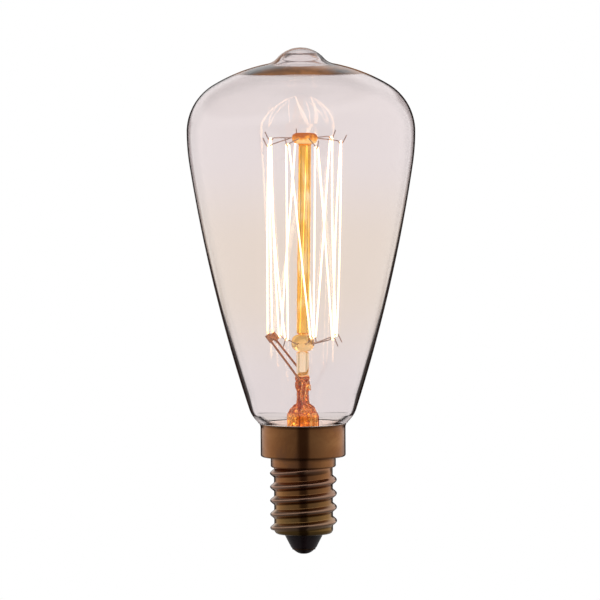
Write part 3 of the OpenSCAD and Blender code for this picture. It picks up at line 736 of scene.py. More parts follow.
@dataclass
class GlassVessel:
    """The blown envelope: one chain of tangent arcs, and an inner wall at the glass's thickness."""

    height: float = 104.4
    radius: float = 23.5
    widest_z: float = 87.1
    # Thickness of the wall at some heights: thin where the glass was blown widest.
    walls: tuple[Pair, ...] = (
        (21.0, 0.55), (29.0, 0.65), (32.0, 0.86), (38.0, 0.78), (50.0, 0.5), (62.0, 0.38), (75.0, 0.31), (104.0, 0.3),
    )
    # Glass left thicker on the crown: distance from the axis, and thickness added to the wall.
    ring: tuple[Pair, ...] = ((3.4, 0.0), (4.8, 0.5), (12.8, 0.0))
    shoulder_r: float = 11.2
    crown_z: float = 101.7
    nub_r: float = 6.4
    nub_fillet_r: float = 3.9
    belly_r: float = 43.5
    taper_r: float = 325.0
    throat_radius: float = 11.33
    throat_z: float = 31.8
    throat_r: float = 6.0
    neck_radius: float = 8.1
    neck_fillet_r: float = 0.5
    seal_z: float = 21.5
    rest_z: float = 27.0  # where the glass rests on the cap's rim
    rest_r: float = 0.3
    uneven: float = 0.012  # how far the inner face strays
    uneven_mm: float = 7.0
    sides: int = 192

    def outline(self, share: float, rests: bool = True) -> Points:
        """Profile of the outer face from the neck's lower edge to the top.

        Args:
            share: share of the full number of points.
            rests: whether the throat has the corner that rests on the cap's rim.

        Returns:
            Profile points.
        """
        shoulder = np.array([self.radius - self.shoulder_r, self.widest_z])
        belly = np.array([self.radius - self.belly_r, self.widest_z])
        throat = np.array([self.throat_radius - self.throat_r, self.throat_z])
        taper = meet(throat, self.taper_r - self.throat_r, belly, self.taper_r - self.belly_r)
        nub = np.array([0.0, self.height - self.nub_r])
        drop = self.widest_z - self.crown_z
        crown_r = (self.shoulder_r**2 - shoulder[0] ** 2 - drop**2) / (2 * (drop + self.shoulder_r))
        crown = np.array([0.0, self.crown_z - crown_r])
        fillet = meet(nub, self.nub_r + self.nub_fillet_r, crown, crown_r + self.nub_fillet_r)
        neck_x = self.neck_radius + self.neck_fillet_r
        reach = self.throat_r + self.neck_fillet_r
        neck = np.array([neck_x, self.throat_z - math.sqrt(reach**2 - (neck_x - throat[0]) ** 2)])
        throat_a = angle_between(throat, neck)
        taper_a0, taper_a1 = angle_between(taper, throat), angle_between(taper, belly)
        crown_a, fillet_a = angle_between(crown, shoulder), angle_between(crown, fillet)
        nub_a = angle_between(nub, fillet)
        runs = (
            (neck, self.neck_fillet_r, 180, throat_a + 180, 8),
            (throat, self.throat_r, throat_a, taper_a0, 22),
            (taper, self.taper_r, taper_a0, taper_a1, 36),
            (belly, self.belly_r, taper_a1, 0, 12),
            (shoulder, self.shoulder_r, 0, crown_a, 34),
            (crown, crown_r, crown_a, fillet_a, 16),
            (fillet, self.nub_fillet_r, fillet_a - 180, nub_a - 180, 12),
            (nub, self.nub_r, nub_a, 90, 20),
        )
        arcs = [arc(*run, max(3, round(count * share))) for *run, count in runs]
        points = profile(upright(self.neck_radius, self.seal_z, neck[1] - 0.2, 4), *arcs)
        points[-1, 0] = 0.0
        if not rests:
            return points
        middle_z, foot_z, foot_r = self.rest_z + self.rest_r, self.rest_z - 0.3, 0.3
        low = points[:60]  # the neck, the throat and part of the taper
        reach = np.interp(middle_z, low[:, 1], low[:, 0])
        return profile(
            [[self.neck_radius, self.seal_z], [self.neck_radius, foot_z]],
            arc((self.neck_radius + foot_r, foot_z), foot_r, 180, 90, 5),
            arc((reach - self.rest_r, middle_z), self.rest_r, -90, -10, 6),
            points[points[:, 1] > middle_z + 0.05],
        )

    def inner(self) -> Points:
        """Profile of the inner face: the outer one moved in by the wall, which is thicker in a ring on the crown.

        Returns:
            Profile points.
        """
        points = self.outline(1.3, rests=False)
        ways = np.gradient(points, axis=0)
        ways /= np.linalg.norm(ways, axis=1)[:, None]
        ways[-1] = (-1, 0)
        wall = np.interp(points[:, 1], *zip(*self.walls))
        wall += np.interp(points[:, 0], *zip(*self.ring)) * (points[:, 1] > self.widest_z)
        points = points + wall[:, None] * np.stack([-ways[:, 1], ways[:, 0]], 1)
        points[-1, 0] = 0.0
        return points

    def build(self) -> None:
        """Makes the envelope as a wall with two faces, very slightly uneven as blown glass is."""
        above, low = lathe(self.outline(1.0), self.sides)
        below, high = lathe(self.inner(), self.sides)
        uneven = self.uneven * waves(below * [1, 1, 0.4], self.uneven_mm, 4)
        out = below / np.maximum(np.linalg.norm(below * [1, 1, 0], axis=1), 1.0)[:, None] * [1, 1, 0]
        below = below + out * uneven[:, None]
        start = len(above)
        faces = low + [tuple(start + c for c in reversed(face)) for face in high]
        around = [(i, (i + 1) % self.sides) for i in range(self.sides)]
        faces += [(start + i, start + j, j, i) for i, j in around]
        made = new_object("blown_envelope", np.concatenate([above, below]), faces)
        finish_piece(made, BlownGlass().material(), ("glass_envelope",), 60)


@dataclass
class ScrewCap:
    """The brass cap: shell with collar and rolled thread, black glass insulator, and its solder joints."""

    collar_r: float = 8.75
    collar_top_z: float = 26.95
    lip: float = 0.2  # how far the rim flares
    lip_h: float = 0.8
    shelf_z: float = 20.1
    collar_round_r: float = 0.4
    sheet: float = 0.25
    band_r: float = 6.7
    band_z: float = 17.9
    band_round_r: float = 0.35
    thread_r: float = 6.88
    root_r: float = 6.05
    rise: float = 2.822
    crest_h: float = 1.9
    turns: float = 4.95
    thread_z: float = 3.95
    fade: float = 0.3  # share of a turn in which the thread runs in and out
    shell_z: float = 4.1
    curl_r: float = 0.9
    mouth_r: float = 4.7
    insulator_top_z: float = 7.0
    cone_r: float = 3.9
    contact_r: float = 2.4
    contact_z: float = 0.9
    contact_t: float = 0.25
    land_r: float = 0.7  # flat end of the solder dome
    neck_r: float = 8.1
    seal_z: float = 21.5
    fit: float = 0.02  # gap between pieces that touch
    sides: int = 180

    @property
    def hole_z(self) -> float:
        """Height of the hole in the plain band that the second outer lead comes out of."""
        return (self.band_z + self.shelf_z) / 2

    def thread_tree(self) -> NodeRecipe:
        """The thread's rule: a round bead that winds up the wall, and how strongly each place is a crest.

        Returns:
            The tree.
        """
        clamped, stored = ("Math DIVIDE", {"use_clamp": True}), {"Name": "crest", "Value": "high"}
        rows = [
            ("place", "GeometryNodeInputPosition"),
            ("at", "SeparateXYZ", "place"),
            ("on_wall", "GeometryNodeInputNamedAttribute", {"Name": "wall"}),
            # The turn that a place is on, and how far it is above or below the bead's middle line.
            ("angle", "Math ARCTAN2", "at.Y", "at.X"),
            ("part", "Math DIVIDE", "angle", TAU),
            ("part", "Math WRAP", "part", 1.0, 0.0),
            ("up", "Math SUBTRACT", "at.Z", "in.Start Height"),
            ("up", "Math DIVIDE", "up", "in.Rise"),
            ("along", "Math SUBTRACT", "up", "part"),
            ("whole", "Math ROUND", "along"),
            ("off", "Math SUBTRACT", "along", "whole"),
            ("off", "Math ABSOLUTE", "off"),
            ("off", "Math MULTIPLY", "off", "in.Rise"),
            # The bead runs in at its start and out at its end.
            ("turn", "Math ADD", "whole", "part"),
            ("begun", clamped, "turn", "in.Fade"),
            ("left", "Math SUBTRACT", "in.Turns", "turn"),
            ("left", clamped, "left", "in.Fade"),
            ("ends", "Math MULTIPLY", "begun", "left"),
            ("off", "Math DIVIDE", "off", "in.Crest Height"),
            ("off", "Math MINIMUM", "off", 0.5),
            ("phase", "Math MULTIPLY", "off", math.pi),
            ("wave", "Math COSINE", "phase"),
            ("wave", "Math POWER", "wave", 1.4),
            ("high", "Math MULTIPLY", "wave", "ends"),
            ("high", "Math MULTIPLY", "high", "on_wall"),
            ("lift", "Math MULTIPLY", "high", "in.Crest Depth"),
            ("flat", "CombineXYZ", {"X": "at.X", "Y": "at.Y"}),
            ("out", "VectorMath NORMALIZE", "flat"),
            ("move", "VectorMath SCALE", "out", "lift"),
            ("stored", "GeometryNodeStoreNamedAttribute", {"Geometry": "in.Geometry", **stored}),
            ("raised", "GeometryNodeSetPosition", {"Geometry": "stored", "Offset": "move"}),
        ]
        sizes = ("Rise", "Crest Height", "Crest Depth", "Start Height", "Turns", "Fade")
        return NodeRecipe("rolled_thread", dict.fromkeys(sizes, "Float"), rows)

    def shell_profile(self, inside: float, rows: int) -> tuple[Points, Points]:
        """Profile of the shell's outer or inner face, from the mouth up to the rim.

        Args:
            inside: how far the face lies inside the outer one.
            rows: number of rows on the threaded wall.

        Returns:
            Profile points, and for each whether it is on the threaded wall.
        """
        curl = (self.root_r - self.curl_r, self.shell_z + self.curl_r)
        groove = (self.band_r + self.sheet, self.shelf_z - self.sheet)
        corner = (self.collar_r - self.collar_round_r, self.shelf_z + self.collar_round_r)
        band, collar, round_r = self.band_r - inside, self.collar_r - inside, self.band_round_r
        lip_z, flared = self.collar_top_z - self.lip_h, self.lip_h - self.sheet / 2
        low = arc(curl, self.curl_r - inside, -90, 0, 12)[:-1]
        wall = upright(self.root_r - inside, curl[1], self.band_z + inside, rows)
        step = profile(
            arc((band - round_r, self.band_z + inside + round_r), round_r, -90, 0, 7),
            upright(band, self.band_z + 0.4, self.shelf_z - self.sheet - 0.05, 4),
            arc(groove, self.sheet + inside, 180, 90, 7),
            arc(corner, self.collar_round_r - inside, -90, 0, 10),
            upright(collar, self.shelf_z + 0.45, lip_z, 8),
            [[collar + self.lip * f**2, lip_z + f * flared] for f in (0.25, 0.5, 0.75)],
        )
        threaded = np.concatenate([np.zeros(len(low)), np.ones(rows), np.zeros(len(step))])
        return np.concatenate([low, wall, step]), threaded

    def build_shell(self, brass: bpy.types.Material) -> None:
        """Makes the shell: a lathe-turned sheet with two faces, whose wall the thread's rule then lifts.

        Args:
            brass: the shell's finish.
        """
        outer, lifted_out = self.shell_profile(0.0, 150)
        inner, lifted_in = self.shell_profile(self.sheet, 75)
        half = self.sheet / 2
        rim = arc((self.collar_r + self.lip - half, self.collar_top_z - half), half, 0, 180, 9)
        mouth = np.array([[self.mouth_r, self.shell_z], [self.mouth_r, self.shell_z + self.sheet]])
        outline = np.concatenate([mouth[:1], outer, rim, inner[::-1], mouth[1:]])
        wall = np.concatenate([[0], lifted_out, np.zeros(len(rim)), lifted_in[::-1], [0]])
        made = new_object("screw_shell", *lathe(outline, self.sides, closed=True))
        store(made, "wall", np.repeat(wall, self.sides))
        self.thread_tree().run(
            made,
            brass,
            Rise=self.rise * MM,
            Crest_Height=self.crest_h * MM,
            Crest_Depth=(self.thread_r - self.root_r) * MM,
            Start_Height=self.thread_z * MM,
            Turns=self.turns,
            Fade=self.fade,
        )
        self.mark_painted_shade(made)
        finish_piece(made, brass, ("cap_shell",), 80)

    def mark_painted_shade(self, made: bpy.types.Object) -> None:
        """Stores where the shell gets painted shade: under the collar, along its rim and at its lower end.

        Args:
            made: the shell.
        """
        across, deep, height = (per_vertex(made.data, "co") / MM).T
        under = np.exp(-(((height - self.shelf_z + 0.15) / 0.18) ** 2)) * (np.hypot(across, deep) < self.band_r + 0.6)
        top = np.exp(-(((height - self.collar_top_z) / 0.16) ** 2))
        low = np.exp(-(((height - self.shell_z) / 0.3) ** 2)) * 0.6
        store(made, "groove", np.clip(under + 0.8 * top + low, 0, 1))

    def build_insulator(self) -> None:
        """Makes the black glass cone that closes the shell, poured round the contact's plate."""
        cone_z = self.contact_z + self.contact_t + self.fit
        hole_r, shell_r, mouth_r = 0.6, self.root_r - self.sheet - self.fit, self.mouth_r - self.fit
        curl = (self.root_r - self.curl_r, self.shell_z + self.curl_r)
        outline = profile(
            [[hole_r, cone_z]],
            arc((self.contact_r + self.fit, cone_z + 0.12), 0.12, -90, -30, 5),
            np.stack([np.linspace(2.62, self.cone_r - 0.08, 8), np.linspace(cone_z + 0.15, self.shell_z - 0.42, 8)], 1),
            arc((self.cone_r - 0.2, self.shell_z - 0.2), 0.2, -30, 60, 6),
            [[mouth_r, self.shell_z], [mouth_r, self.shell_z + self.sheet + self.fit]],
            arc(curl, self.curl_r - self.sheet - self.fit, -90, 0, 8),
            [[shell_r, self.insulator_top_z], [hole_r, self.insulator_top_z]],
        )
        made = new_object("vitrite_cone", *lathe(outline, 128, closed=True))
        finish_piece(made, VITRITE.material(), ("cap_insulator",), 35)

    def build_solder(self) -> None:
        """Makes the contact's solder dome and the joint at the back, both a little lumpy as solder sets."""
        solder = SOLDER.material()
        foot_r, top_z = self.contact_r - 0.15, self.contact_z - 0.002
        radius = (foot_r**2 - self.land_r**2 + self.contact_z**2) / (2 * self.contact_z)
        centre = (0.0, math.sqrt(radius**2 - self.land_r**2))
        edge = angle_between(np.array(centre), np.array([foot_r, self.contact_z]))
        dome = profile(
            [[0.0, 0.0], [self.land_r * 0.5, 0.0]],
            arc(centre, radius, -math.degrees(math.acos(self.land_r / radius)), edge, 18),
            [[foot_r - 0.02, top_z], [0.0, top_z]],
        )
        vertices, faces = lathe(dome, 96)
        reach = np.hypot(vertices[:, 0], vertices[:, 1])
        # The dome's flat end and its foot stay as they are.
        uneven = waves(vertices, 0.8, 11) * 0.05 * np.clip(reach - self.land_r, 0, 1) * (vertices[:, 2] < 0.85)
        vertices[:, :2] *= (1 - np.abs(uneven) / np.maximum(reach, 0.3))[:, None]
        finish_piece(new_object("solder_tip", vertices, faces), solder, ("contact_solder",), 50)
        points, faces = lathe(arc((0.0, 0.0), 0.95, -90, 90, 17), 40)
        points = points * [1.0, 0.6, 0.95]
        points = points * (1 + 0.06 * waves(points, 0.5, 21))[:, None] + np.array([0.0, self.band_r, self.hole_z])
        finish_piece(new_object("side_joint", points, faces), solder, ("side_solder",), 50)

    def build_cement(self) -> None:
        """Makes the pale ring between the neck and the collar, with a slightly slumped top."""
        inner, outer, top = self.neck_r + self.fit, self.collar_r - self.sheet - self.fit, self.collar_top_z
        low = [[inner, self.seal_z], [outer, self.seal_z]]
        outline = profile(low, [[outer, top - 0.1], [outer - 0.15, top - 0.02], [inner, top - 0.08]])
        made = new_object("cement_bead", *lathe(outline, 128, closed=True))
        finish_piece(made, CEMENT.material(), ("cement_ring",), 35)

    def build(self) -> None:
        """Makes and dresses the whole cap."""
        self.build_shell(AgedBrass().material())
        self.build_insulator()
        self.build_solder()
        dress_node("contact_plate", EYELET.material())
        self.build_cement()


@dataclass
class GlassMount:
    """The glass inside the lamp: the flared stem with its press and exhaust tube, and the rod with two buttons."""

    neck_radius: float = 8.1
    seal_z: float = 21.5
    stem_r: float = 3.3
    stem_wall: float = 0.8
    flare_r: float = 4.0
    dome_z: float = 31.6
    ceiling_z: float = 29.4
    press_z: float = 36.0
    press_w: float = 5.4
    press_t: float = 1.7
    press_turn: float = 70.0
    pump_r: float = 0.45
    pump_z: float = 34.4
    lip_h: float = 0.8
    lip_wall: float = 0.3
    exhaust_r: float = 1.4
    exhaust_wall: float = 0.6
    exhaust_tip_z: float = 13.5
    pad_r: float = 1.5
    pad_h: float = 0.6
    rod_r: float = 1.3
    rod_lean_deg: float = 0.9
    upper_button: Triple = (2.7, 2.1, 85.7)  # radius, height, and height of its middle
    lower_button: Triple = (2.4, 3.5, 43.4)
    button_edge: float = 0.46  # radius of a button's round edge, as a share of its height
    voxel: float = 0.14  # size of the cells in which the stem's shapes are melted together

    @property
    def rod_z(self) -> float:
        """Height of the rod's foot."""
        return self.press_z + self.pad_h

    def lean(self, points: Points, way: int = 1) -> Points:
        """Leans points about the rod's foot, as the rod and all that it carries lean.

        Args:
            points: places in the upright frame of the rod.
            way: 1 to lean them, and -1 to bring places in the lamp back to the rod's upright frame.

        Returns:
            The places, one row each.
        """
        angle = way * math.radians(self.rod_lean_deg)
        x, y, z = np.asarray(points, float).reshape(-1, 3).T
        z = z - self.rod_z
        up = self.rod_z - x * math.sin(angle) + z * math.cos(angle)
        return np.stack([x * math.cos(angle) + z * math.sin(angle), y, up], 1)

    def button_run(self, radius: float, height: float, middle: float) -> Points:
        """Outer profile of one button, from below to above, where it leaves and meets the rod.

        Args:
            radius: the button's radius.
            height: its height.
            middle: height of its middle.

        Returns:
            Profile points.
        """
        edge = height * self.button_edge
        flat = height / 2 - edge
        low = arc((radius - edge, middle - flat), edge, -90, 0, 14)
        high = arc((radius - edge, middle + flat), edge, 0, 90, 14)
        return np.concatenate([low, high])

    def build_rod(self) -> None:
        """Makes the rod and both buttons as one melt, slightly uneven, and marks the layers of the upper button, which
        set its painted glow.
        """
        lower, upper = self.button_run(*self.lower_button), self.button_run(*self.upper_button)
        outline = profile(
            [[0.0, self.rod_z + 0.01]],
            arc((self.rod_r + 0.25, self.rod_z + 0.28), 0.25, 180 + 60, 180, 6),
            upright(self.rod_r, self.rod_z + 0.4, lower[0, 1] - 0.25, 14),
            lower,
            upright(self.rod_r, lower[-1, 1] + 0.25, upper[0, 1] - 0.25, 80),
            upper,
            [[0.0, upper[-1, 1]]],
        )
        vertices, faces = lathe(outline, 64)
        reach = np.hypot(vertices[:, 0], vertices[:, 1])
        wide = reach > self.rod_r + 0.05
        places = np.where(wide[:, None], vertices, vertices * [1, 1, 0.25])
        uneven = np.where(wide, 0.05, 0.03) * waves(places, 1.6, 31)
        vertices[:, :2] *= (1 - np.abs(uneven) / np.maximum(reach, 0.5))[:, None]
        made = new_object("rod_and_buttons", self.lean(vertices), faces)
        _, height, middle = self.upper_button
        # Depth in the upper button's melt layers, which sets its painted glow: yellow low down, deep orange-brown at
        # its top.
        above = vertices[:, 2] - middle
        share = 0.4 + 0.6 * np.clip(above / height + 0.5, 0, 1)
        melt = share * np.clip((above + height / 2) / 0.15, 0, 1) * np.clip((reach - self.rod_r) / 0.15, 0, 1)
        melt = np.where((reach < self.rod_r + 0.15) & (vertices[:, 2] > middle), share, melt)
        store(made, "melt", melt)
        finish_piece(made, ROD_GLASS.material(), ("centre_rod", "upper_button", "lower_button"), 60)

    def stem_body(self) -> tuple[Points, Faces]:
        """The flared tube with its dome, and the exhaust tube that hangs in it, whose bore ends under the dome.

        Returns:
            The vertices and the faces.
        """
        r, wall, roof_z, round_r = self.stem_r, self.stem_wall, self.ceiling_z, 0.4
        flare = (r + self.flare_r, self.seal_z + self.flare_r)
        cavity, neck_r = r - wall, self.neck_radius - 0.05
        tube_r, bore = self.exhaust_r, self.exhaust_r - self.exhaust_wall
        bore_z = self.exhaust_tip_z + 3 * tube_r
        skin = profile(
            [[bore, roof_z]],
            upright(bore, roof_z - 1, bore_z, 12),
            arc((0.0, bore_z), bore, 0, -90, 8),
        )
        stem = profile(
            arc((0.0, self.exhaust_tip_z + tube_r), tube_r, -90, 0, 10),
            upright(tube_r, self.exhaust_tip_z + tube_r + 1, roof_z - 0.3, 14),
            [[tube_r + 0.25, roof_z], [cavity - round_r, roof_z]],
            arc((cavity - round_r, roof_z - round_r), round_r, 90, 0, 4),
            upright(cavity, roof_z - 1, flare[1] + 0.3, 5),
            arc(flare, self.flare_r + wall, -180, -90, 14),
            [[neck_r, self.seal_z - wall], [neck_r, self.seal_z]],
            arc(flare, self.flare_r, -90, -180, 14),
            upright(r, flare[1] + 0.5, self.dome_z - r - 0.3, 5),
            arc((0.0, self.dome_z - r), r, 0, 90, 14),
            [[0.0, roof_z]],
            skin[:1],
        )
        return lathe(np.concatenate([stem, skin]), 72)

    def press_body(self) -> tuple[Points, Faces]:
        """The flat press: a pinched slab that is widest at its head and runs out into the dome below.

        Returns:
            The vertices and the faces.
        """
        heights = np.linspace(self.ceiling_z + 0.6, self.press_z, 26)
        share = (heights - heights[0]) / (heights[-1] - heights[0])
        width = self.press_w / 2 * (1.06 - 0.16 * np.exp(-(((share - 0.55) / 0.2) ** 2)) + 0.02 * np.sin(9 * share))
        depth = self.press_t / 2 * (1.05 - 0.12 * np.exp(-(((share - 0.5) / 0.22) ** 2)))
        shrink = np.sqrt(np.clip(1 - np.clip((share - 0.93) / 0.09, 0, 1) ** 2, 0.02, 1))
        sides = 48
        angles = np.arange(sides) * TAU / sides
        rings = []
        for height, w, d, s in zip(heights, width, depth, shrink):
            x = (w - d) * np.clip(np.cos(angles) * 1.35, -1, 1) + d * np.cos(angles)
            y = d * np.sign(np.sin(angles)) * np.abs(np.sin(angles)) ** 0.8
            rings.append(np.stack([x * s, y * s, np.full(sides, height)], 1))
        points = np.concatenate([*rings, [[0, 0, heights[0]]], [[0, 0, heights[-1] + 0.02]]])
        last = (len(rings) - 1) * sides
        faces: Faces = [
            (k * sides + i, k * sides + (i + 1) % sides, (k + 1) * sides + (i + 1) % sides, (k + 1) * sides + i)
            for k in range(len(rings) - 1)
            for i in range(sides)
        ]
        foot = len(points) - 2
        faces += [(foot, (i + 1) % sides, i) for i in range(sides)]
        faces += [(foot + 1, last + i, last + (i + 1) % sides) for i in range(sides)]
        return points @ np.array(Matrix.Rotation(math.radians(self.press_turn), 3, "Z")).T, faces

    def lip_body(self) -> tuple[Points, Faces]:
        """The rolled lip of glass round the hole that the lamp was pumped through.

        Returns:
            The vertices and the faces.
        """
        r, wall = self.pump_r, self.lip_wall
        outline = profile(
            [[r, 0.3], [r + wall + 0.15, 0.3], [r + wall, 0.8]],
            arc((r + wall / 2, self.press_t / 2 + self.lip_h - wall / 2), wall / 2 + 0.03, 0, 180, 9),
        )
        vertices, faces = lathe(outline, 36, closed=True)
        turned = Matrix.Rotation(math.radians(self.press_turn - 90), 3, "Z") @ Matrix.Rotation(math.radians(90), 3, "Y")
        return vertices @ np.array(turned).T + [0, 0, self.pump_z], faces

    def pad_body(self) -> tuple[Points, Faces]:
        """The drop of glass on the press that the rod stands on.

        Returns:
            The vertices and the faces.
        """
        foot_z, round_r = self.press_z - 0.6, 0.25
        edge = arc((self.pad_r - round_r, self.rod_z - round_r), round_r, 0, 90, 6)
        return lathe(profile([[0.0, foot_z], [self.pad_r * 0.9, foot_z]], edge, [[0.0, self.rod_z]]), 48)

    def build_stem(self) -> None:
        """Melts the stem's shapes into one body with soft joins and the uneven skin of pressed glass."""
        points: list[Points] = []
        faces: Faces = []
        for body, skin in (self.stem_body(), self.press_body(), self.lip_body(), self.pad_body()):
            start = sum(len(p) for p in points)
            points.append(body)
            faces += [tuple(start + c for c in face) for face in skin]
        made = new_object("pressed_stem", np.concatenate(points), faces)
        melt = made.modifiers.new("melt", "REMESH")
        melt.mode, melt.voxel_size = "VOXEL", self.voxel * MM
        soft = made.modifiers.new("soft", "SMOOTH")
        soft.factor, soft.iterations = 0.5, 5
        evaluated(made)
        mesh = made.data
        places, normals = per_vertex(mesh, "co") / MM, per_vertex(mesh, "normal")
        # The skin stays even near the cap, and inside the tube, where the wires run.
        seen = np.clip((places[:, 2] - 27.5) / 2.5, 0, 1)
        inside = np.hypot(places[:, 0], places[:, 1]) < 2.45
        below = inside & (places[:, 2] < self.ceiling_z + 0.2)
        uneven = 0.16 * waves(places, 1.3, 41) + 0.05 * waves(places, 0.5, 42)
        uneven = np.minimum(uneven, 0.12) * seen * ~below
        mesh.vertices.foreach_set("co", ((places + normals * uneven[:, None]) * MM).astype(np.float32).ravel())
        mesh.update()
        finish_piece(made, STEM_GLASS.material(), ("glass_stem", "exhaust_tube"), 80)

    def build(self) -> None:
        """Makes the stem and the rod."""
        self.build_stem()
        self.build_rod()


@dataclass
class WireCage:
    """Hooks, leads and the filament that is hung over the upper hooks and drawn under the lower ones."""

    mount: GlassMount
    cap: ScrewCap
    upper_ring_r: float = 7.5
    lower_ring_r: float = 7.0
    hook_wire_d: float = 0.22
    tip_out: float = 1.2
    tip_up: float = 1.65
    filament_d: float = 0.38
    hook_gap: float = 0.03
    lead_d: float = 0.45
    seal_wire_d: float = 0.35
    outer_lead_d: float = 0.3
    wire_r: float = 2.0  # how far from the axis the wires run through the stem
    lead_seat: float = 1.0
    seal_tail: float = 0.8
    clamp_l: float = 1.7
    clamp_gap: float = 0.06
    coil_wire_d: float = 0.12
    coil_rise: float = 0.27
    coil_steps: int = 8  # points in one turn of the coil
    # Direction of each hook round the rod in degrees, and how far its seat is below or above the button's middle.
    upper_hooks: tuple[Pair, ...] = (
        (190, 1.6), (242, 1.1), (289, 1.6), (353, 0.8), (403, 0.3), (462, 0.2), (520, 0.6),
    )
    lower_hooks: tuple[Pair, ...] = (
        (241, 1.5), (285, 1.8), (331, 1.4), (370, 1.7), (430, 1.0), (493, 1.0),
    )
    # How far the middle of each of the filament's runs bows outwards.
    bows: tuple[float, ...] = (0.1, 0.5, 0, 0.1, 0, 0.1, -0.4, 0.2, -0.4, 0, 0, 0.1, 0.2, 0.1)
    # Direction and distance from the axis, and height over the lower button's middle.
    lead_ends: tuple[Triple, ...] = ((188, 7.6, 1.6), (165, 6.8, 1.6))
    wire_turns: Pair = (250.0, 70.0)

    @staticmethod
    def on_ring(turn: float, radius: float, height: float) -> Points:
        """A place by its direction in degrees, distance from the axis and height."""
        angle = math.radians(turn)
        return np.array([radius * math.cos(angle), radius * math.sin(angle), height])

    def wire_tree(self, name: str, fineness: int, sizes: tuple[str, ...], winding: Rows) -> NodeRecipe:
        """A round wire along each path, bent smoothly through its points.

        Args:
            name: the tree's name.
            fineness: points between two points of a path, before they are spaced evenly.
            sizes: further named sizes, which the winding takes.
            winding: nodes that move the evenly spaced points of "path".

        Returns:
            The tree.
        """
        rows = [
            ("path", "GeometryNodeMeshToCurve", "in.Geometry"),
            ("path", "GeometryNodeCurveSplineType CATMULL_ROM", "path"),
            ("path", "GeometryNodeSetSplineResolution", {"Geometry": "path", "Resolution": fineness}),
            ("path", "GeometryNodeResampleCurve LENGTH", {"Curve": "path", "Length": "in.Step"}),
            *winding,
            ("ring", "GeometryNodeCurvePrimitiveCircle", {"Resolution": "in.Sides", "Radius": "in.Wire Radius"}),
            ("wire", "GeometryNodeCurveToMesh", {"Curve": "path", "Profile Curve": "ring", "Fill Caps": True}),
        ]
        return NodeRecipe(name, {**dict.fromkeys(("Wire Radius", "Step", *sizes), "Float"), "Sides": "Int"}, rows)

    def coil_tree(self) -> NodeRecipe:
        """A fine wire wound round each path: its middle line turns about the path once for each rise.

        Returns:
            The tree.
        """
        winding = [
            ("way", "GeometryNodeInputTangent"),
            ("out", "GeometryNodeInputNormal"),
            ("side", "VectorMath CROSS_PRODUCT", "way", "out"),
            ("along", "GeometryNodeSplineParameter"),
            ("turn", "Math DIVIDE", "along.Length", "in.Rise"),
            ("angle", "Math MULTIPLY", "turn", TAU),
            ("a", "Math COSINE", "angle"),
            ("a", "Math MULTIPLY", "a", "in.Coil Radius"),
            ("a", "VectorMath SCALE", "out", "a"),
            ("b", "Math SINE", "angle"),
            ("b", "Math MULTIPLY", "b", "in.Coil Radius"),
            ("b", "VectorMath SCALE", "side", "b"),
            ("offset", "VectorMath ADD", "a", "b"),
            ("path", "GeometryNodeSetPosition", {"Geometry": "path", "Offset": "offset"}),
        ]
        return self.wire_tree("wound_filament", 8, ("Coil Radius", "Rise"), winding)

    def paths_object(self, name: str, paths: list[Points]) -> bpy.types.Object:
        """An object of bare edges along paths, which the wire trees take.

        Args:
            name: the object's name.
            paths: the points of each path in the lamp.

        Returns:
            The object.
        """
        edges: Faces = []
        start = 0
        for path in paths:
            edges += [(start + i, start + i + 1) for i in range(len(path) - 1)]
            start += len(path)
        return new_object(name, np.concatenate(paths), [], edges)

    def hook_path(self, turn: float, button: Triple, ring_r: float, seat: float, way: int) -> Points:
        """Points of one hook, from inside its button to its tip.

        Args:
            turn: the hook's direction round the rod in degrees.
            button: radius, height and middle height of its button.
            ring_r: radius of the ring that the filament's bends lie on.
            seat: how far the seat lies below the button's middle, or above it for a lower hook.
            way: 1 for an upper hook and -1 for a lower one.

        Returns:
            The points in the rod's frame.
        """
        bend = ((-0.9, -0.45), (-0.5, -0.16), (-0.22, -0.01), (0, 0), (0.22, -0.01), (0.46, -0.2))
        steps = [(self.mount.rod_r + 0.25, 0.0), (button[0] - 0.3, 0.0), (button[0] + 0.3, 0.0)]
        steps += [(ring_r + out, seat + down) for out, down in bend]
        last = steps[-1]
        tip = (ring_r + self.tip_out, seat - self.tip_up)
        steps += [(last[0] + f * (tip[0] - last[0]), last[1] + f * (tip[1] - last[1])) for f in (0.5, 1.0)]
        return np.array([self.on_ring(turn, out, button[2] - way * down) for out, down in steps])

    def draw(
        self, tree: NodeRecipe, name: str, paths: list[Points], size: Triple, metal: bpy.types.Material,
        replaced: tuple[str, ...],
    ) -> None:
        """Makes one piece of drawn wire.

        Args:
            tree: the tree that makes wire along paths.
            name: the piece's name.
            paths: the points of each path in the lamp.
            size: the wire's diameter, the distance between its rings of points, and the points in a ring.
            metal: its finish.
            replaced: the CAD nodes that the piece stands for.
        """
        diameter, step, sides = size
        made = self.paths_object(name, paths)
        tree.run(made, metal, Wire_Radius=diameter / 2 * MM, Step=step * MM, Sides=sides)
        finish_piece(made, metal, replaced)

    def build_hooks(self, wire: NodeRecipe) -> None:
        """Makes both rings of hooks.

        Args:
            wire: the tree that makes wire along paths.
        """
        metal = WireMetal.MOLYBDENUM.material()
        rings = (
            ("upper", self.upper_hooks, self.mount.upper_button, self.upper_ring_r, 1),
            ("lower", self.lower_hooks, self.mount.lower_button, self.lower_ring_r, -1),
        )
        for label, hooks, button, ring_r, way in rings:
            paths = [self.mount.lean(self.hook_path(turn, button, ring_r, seat, way)) for turn, seat in hooks]
            names = tuple(f"{label}_hook_{i + 1}" for i in range(len(hooks)))
            self.draw(wire, f"{label}_hooks", paths, (self.hook_wire_d, 0.12, 12), metal, names)

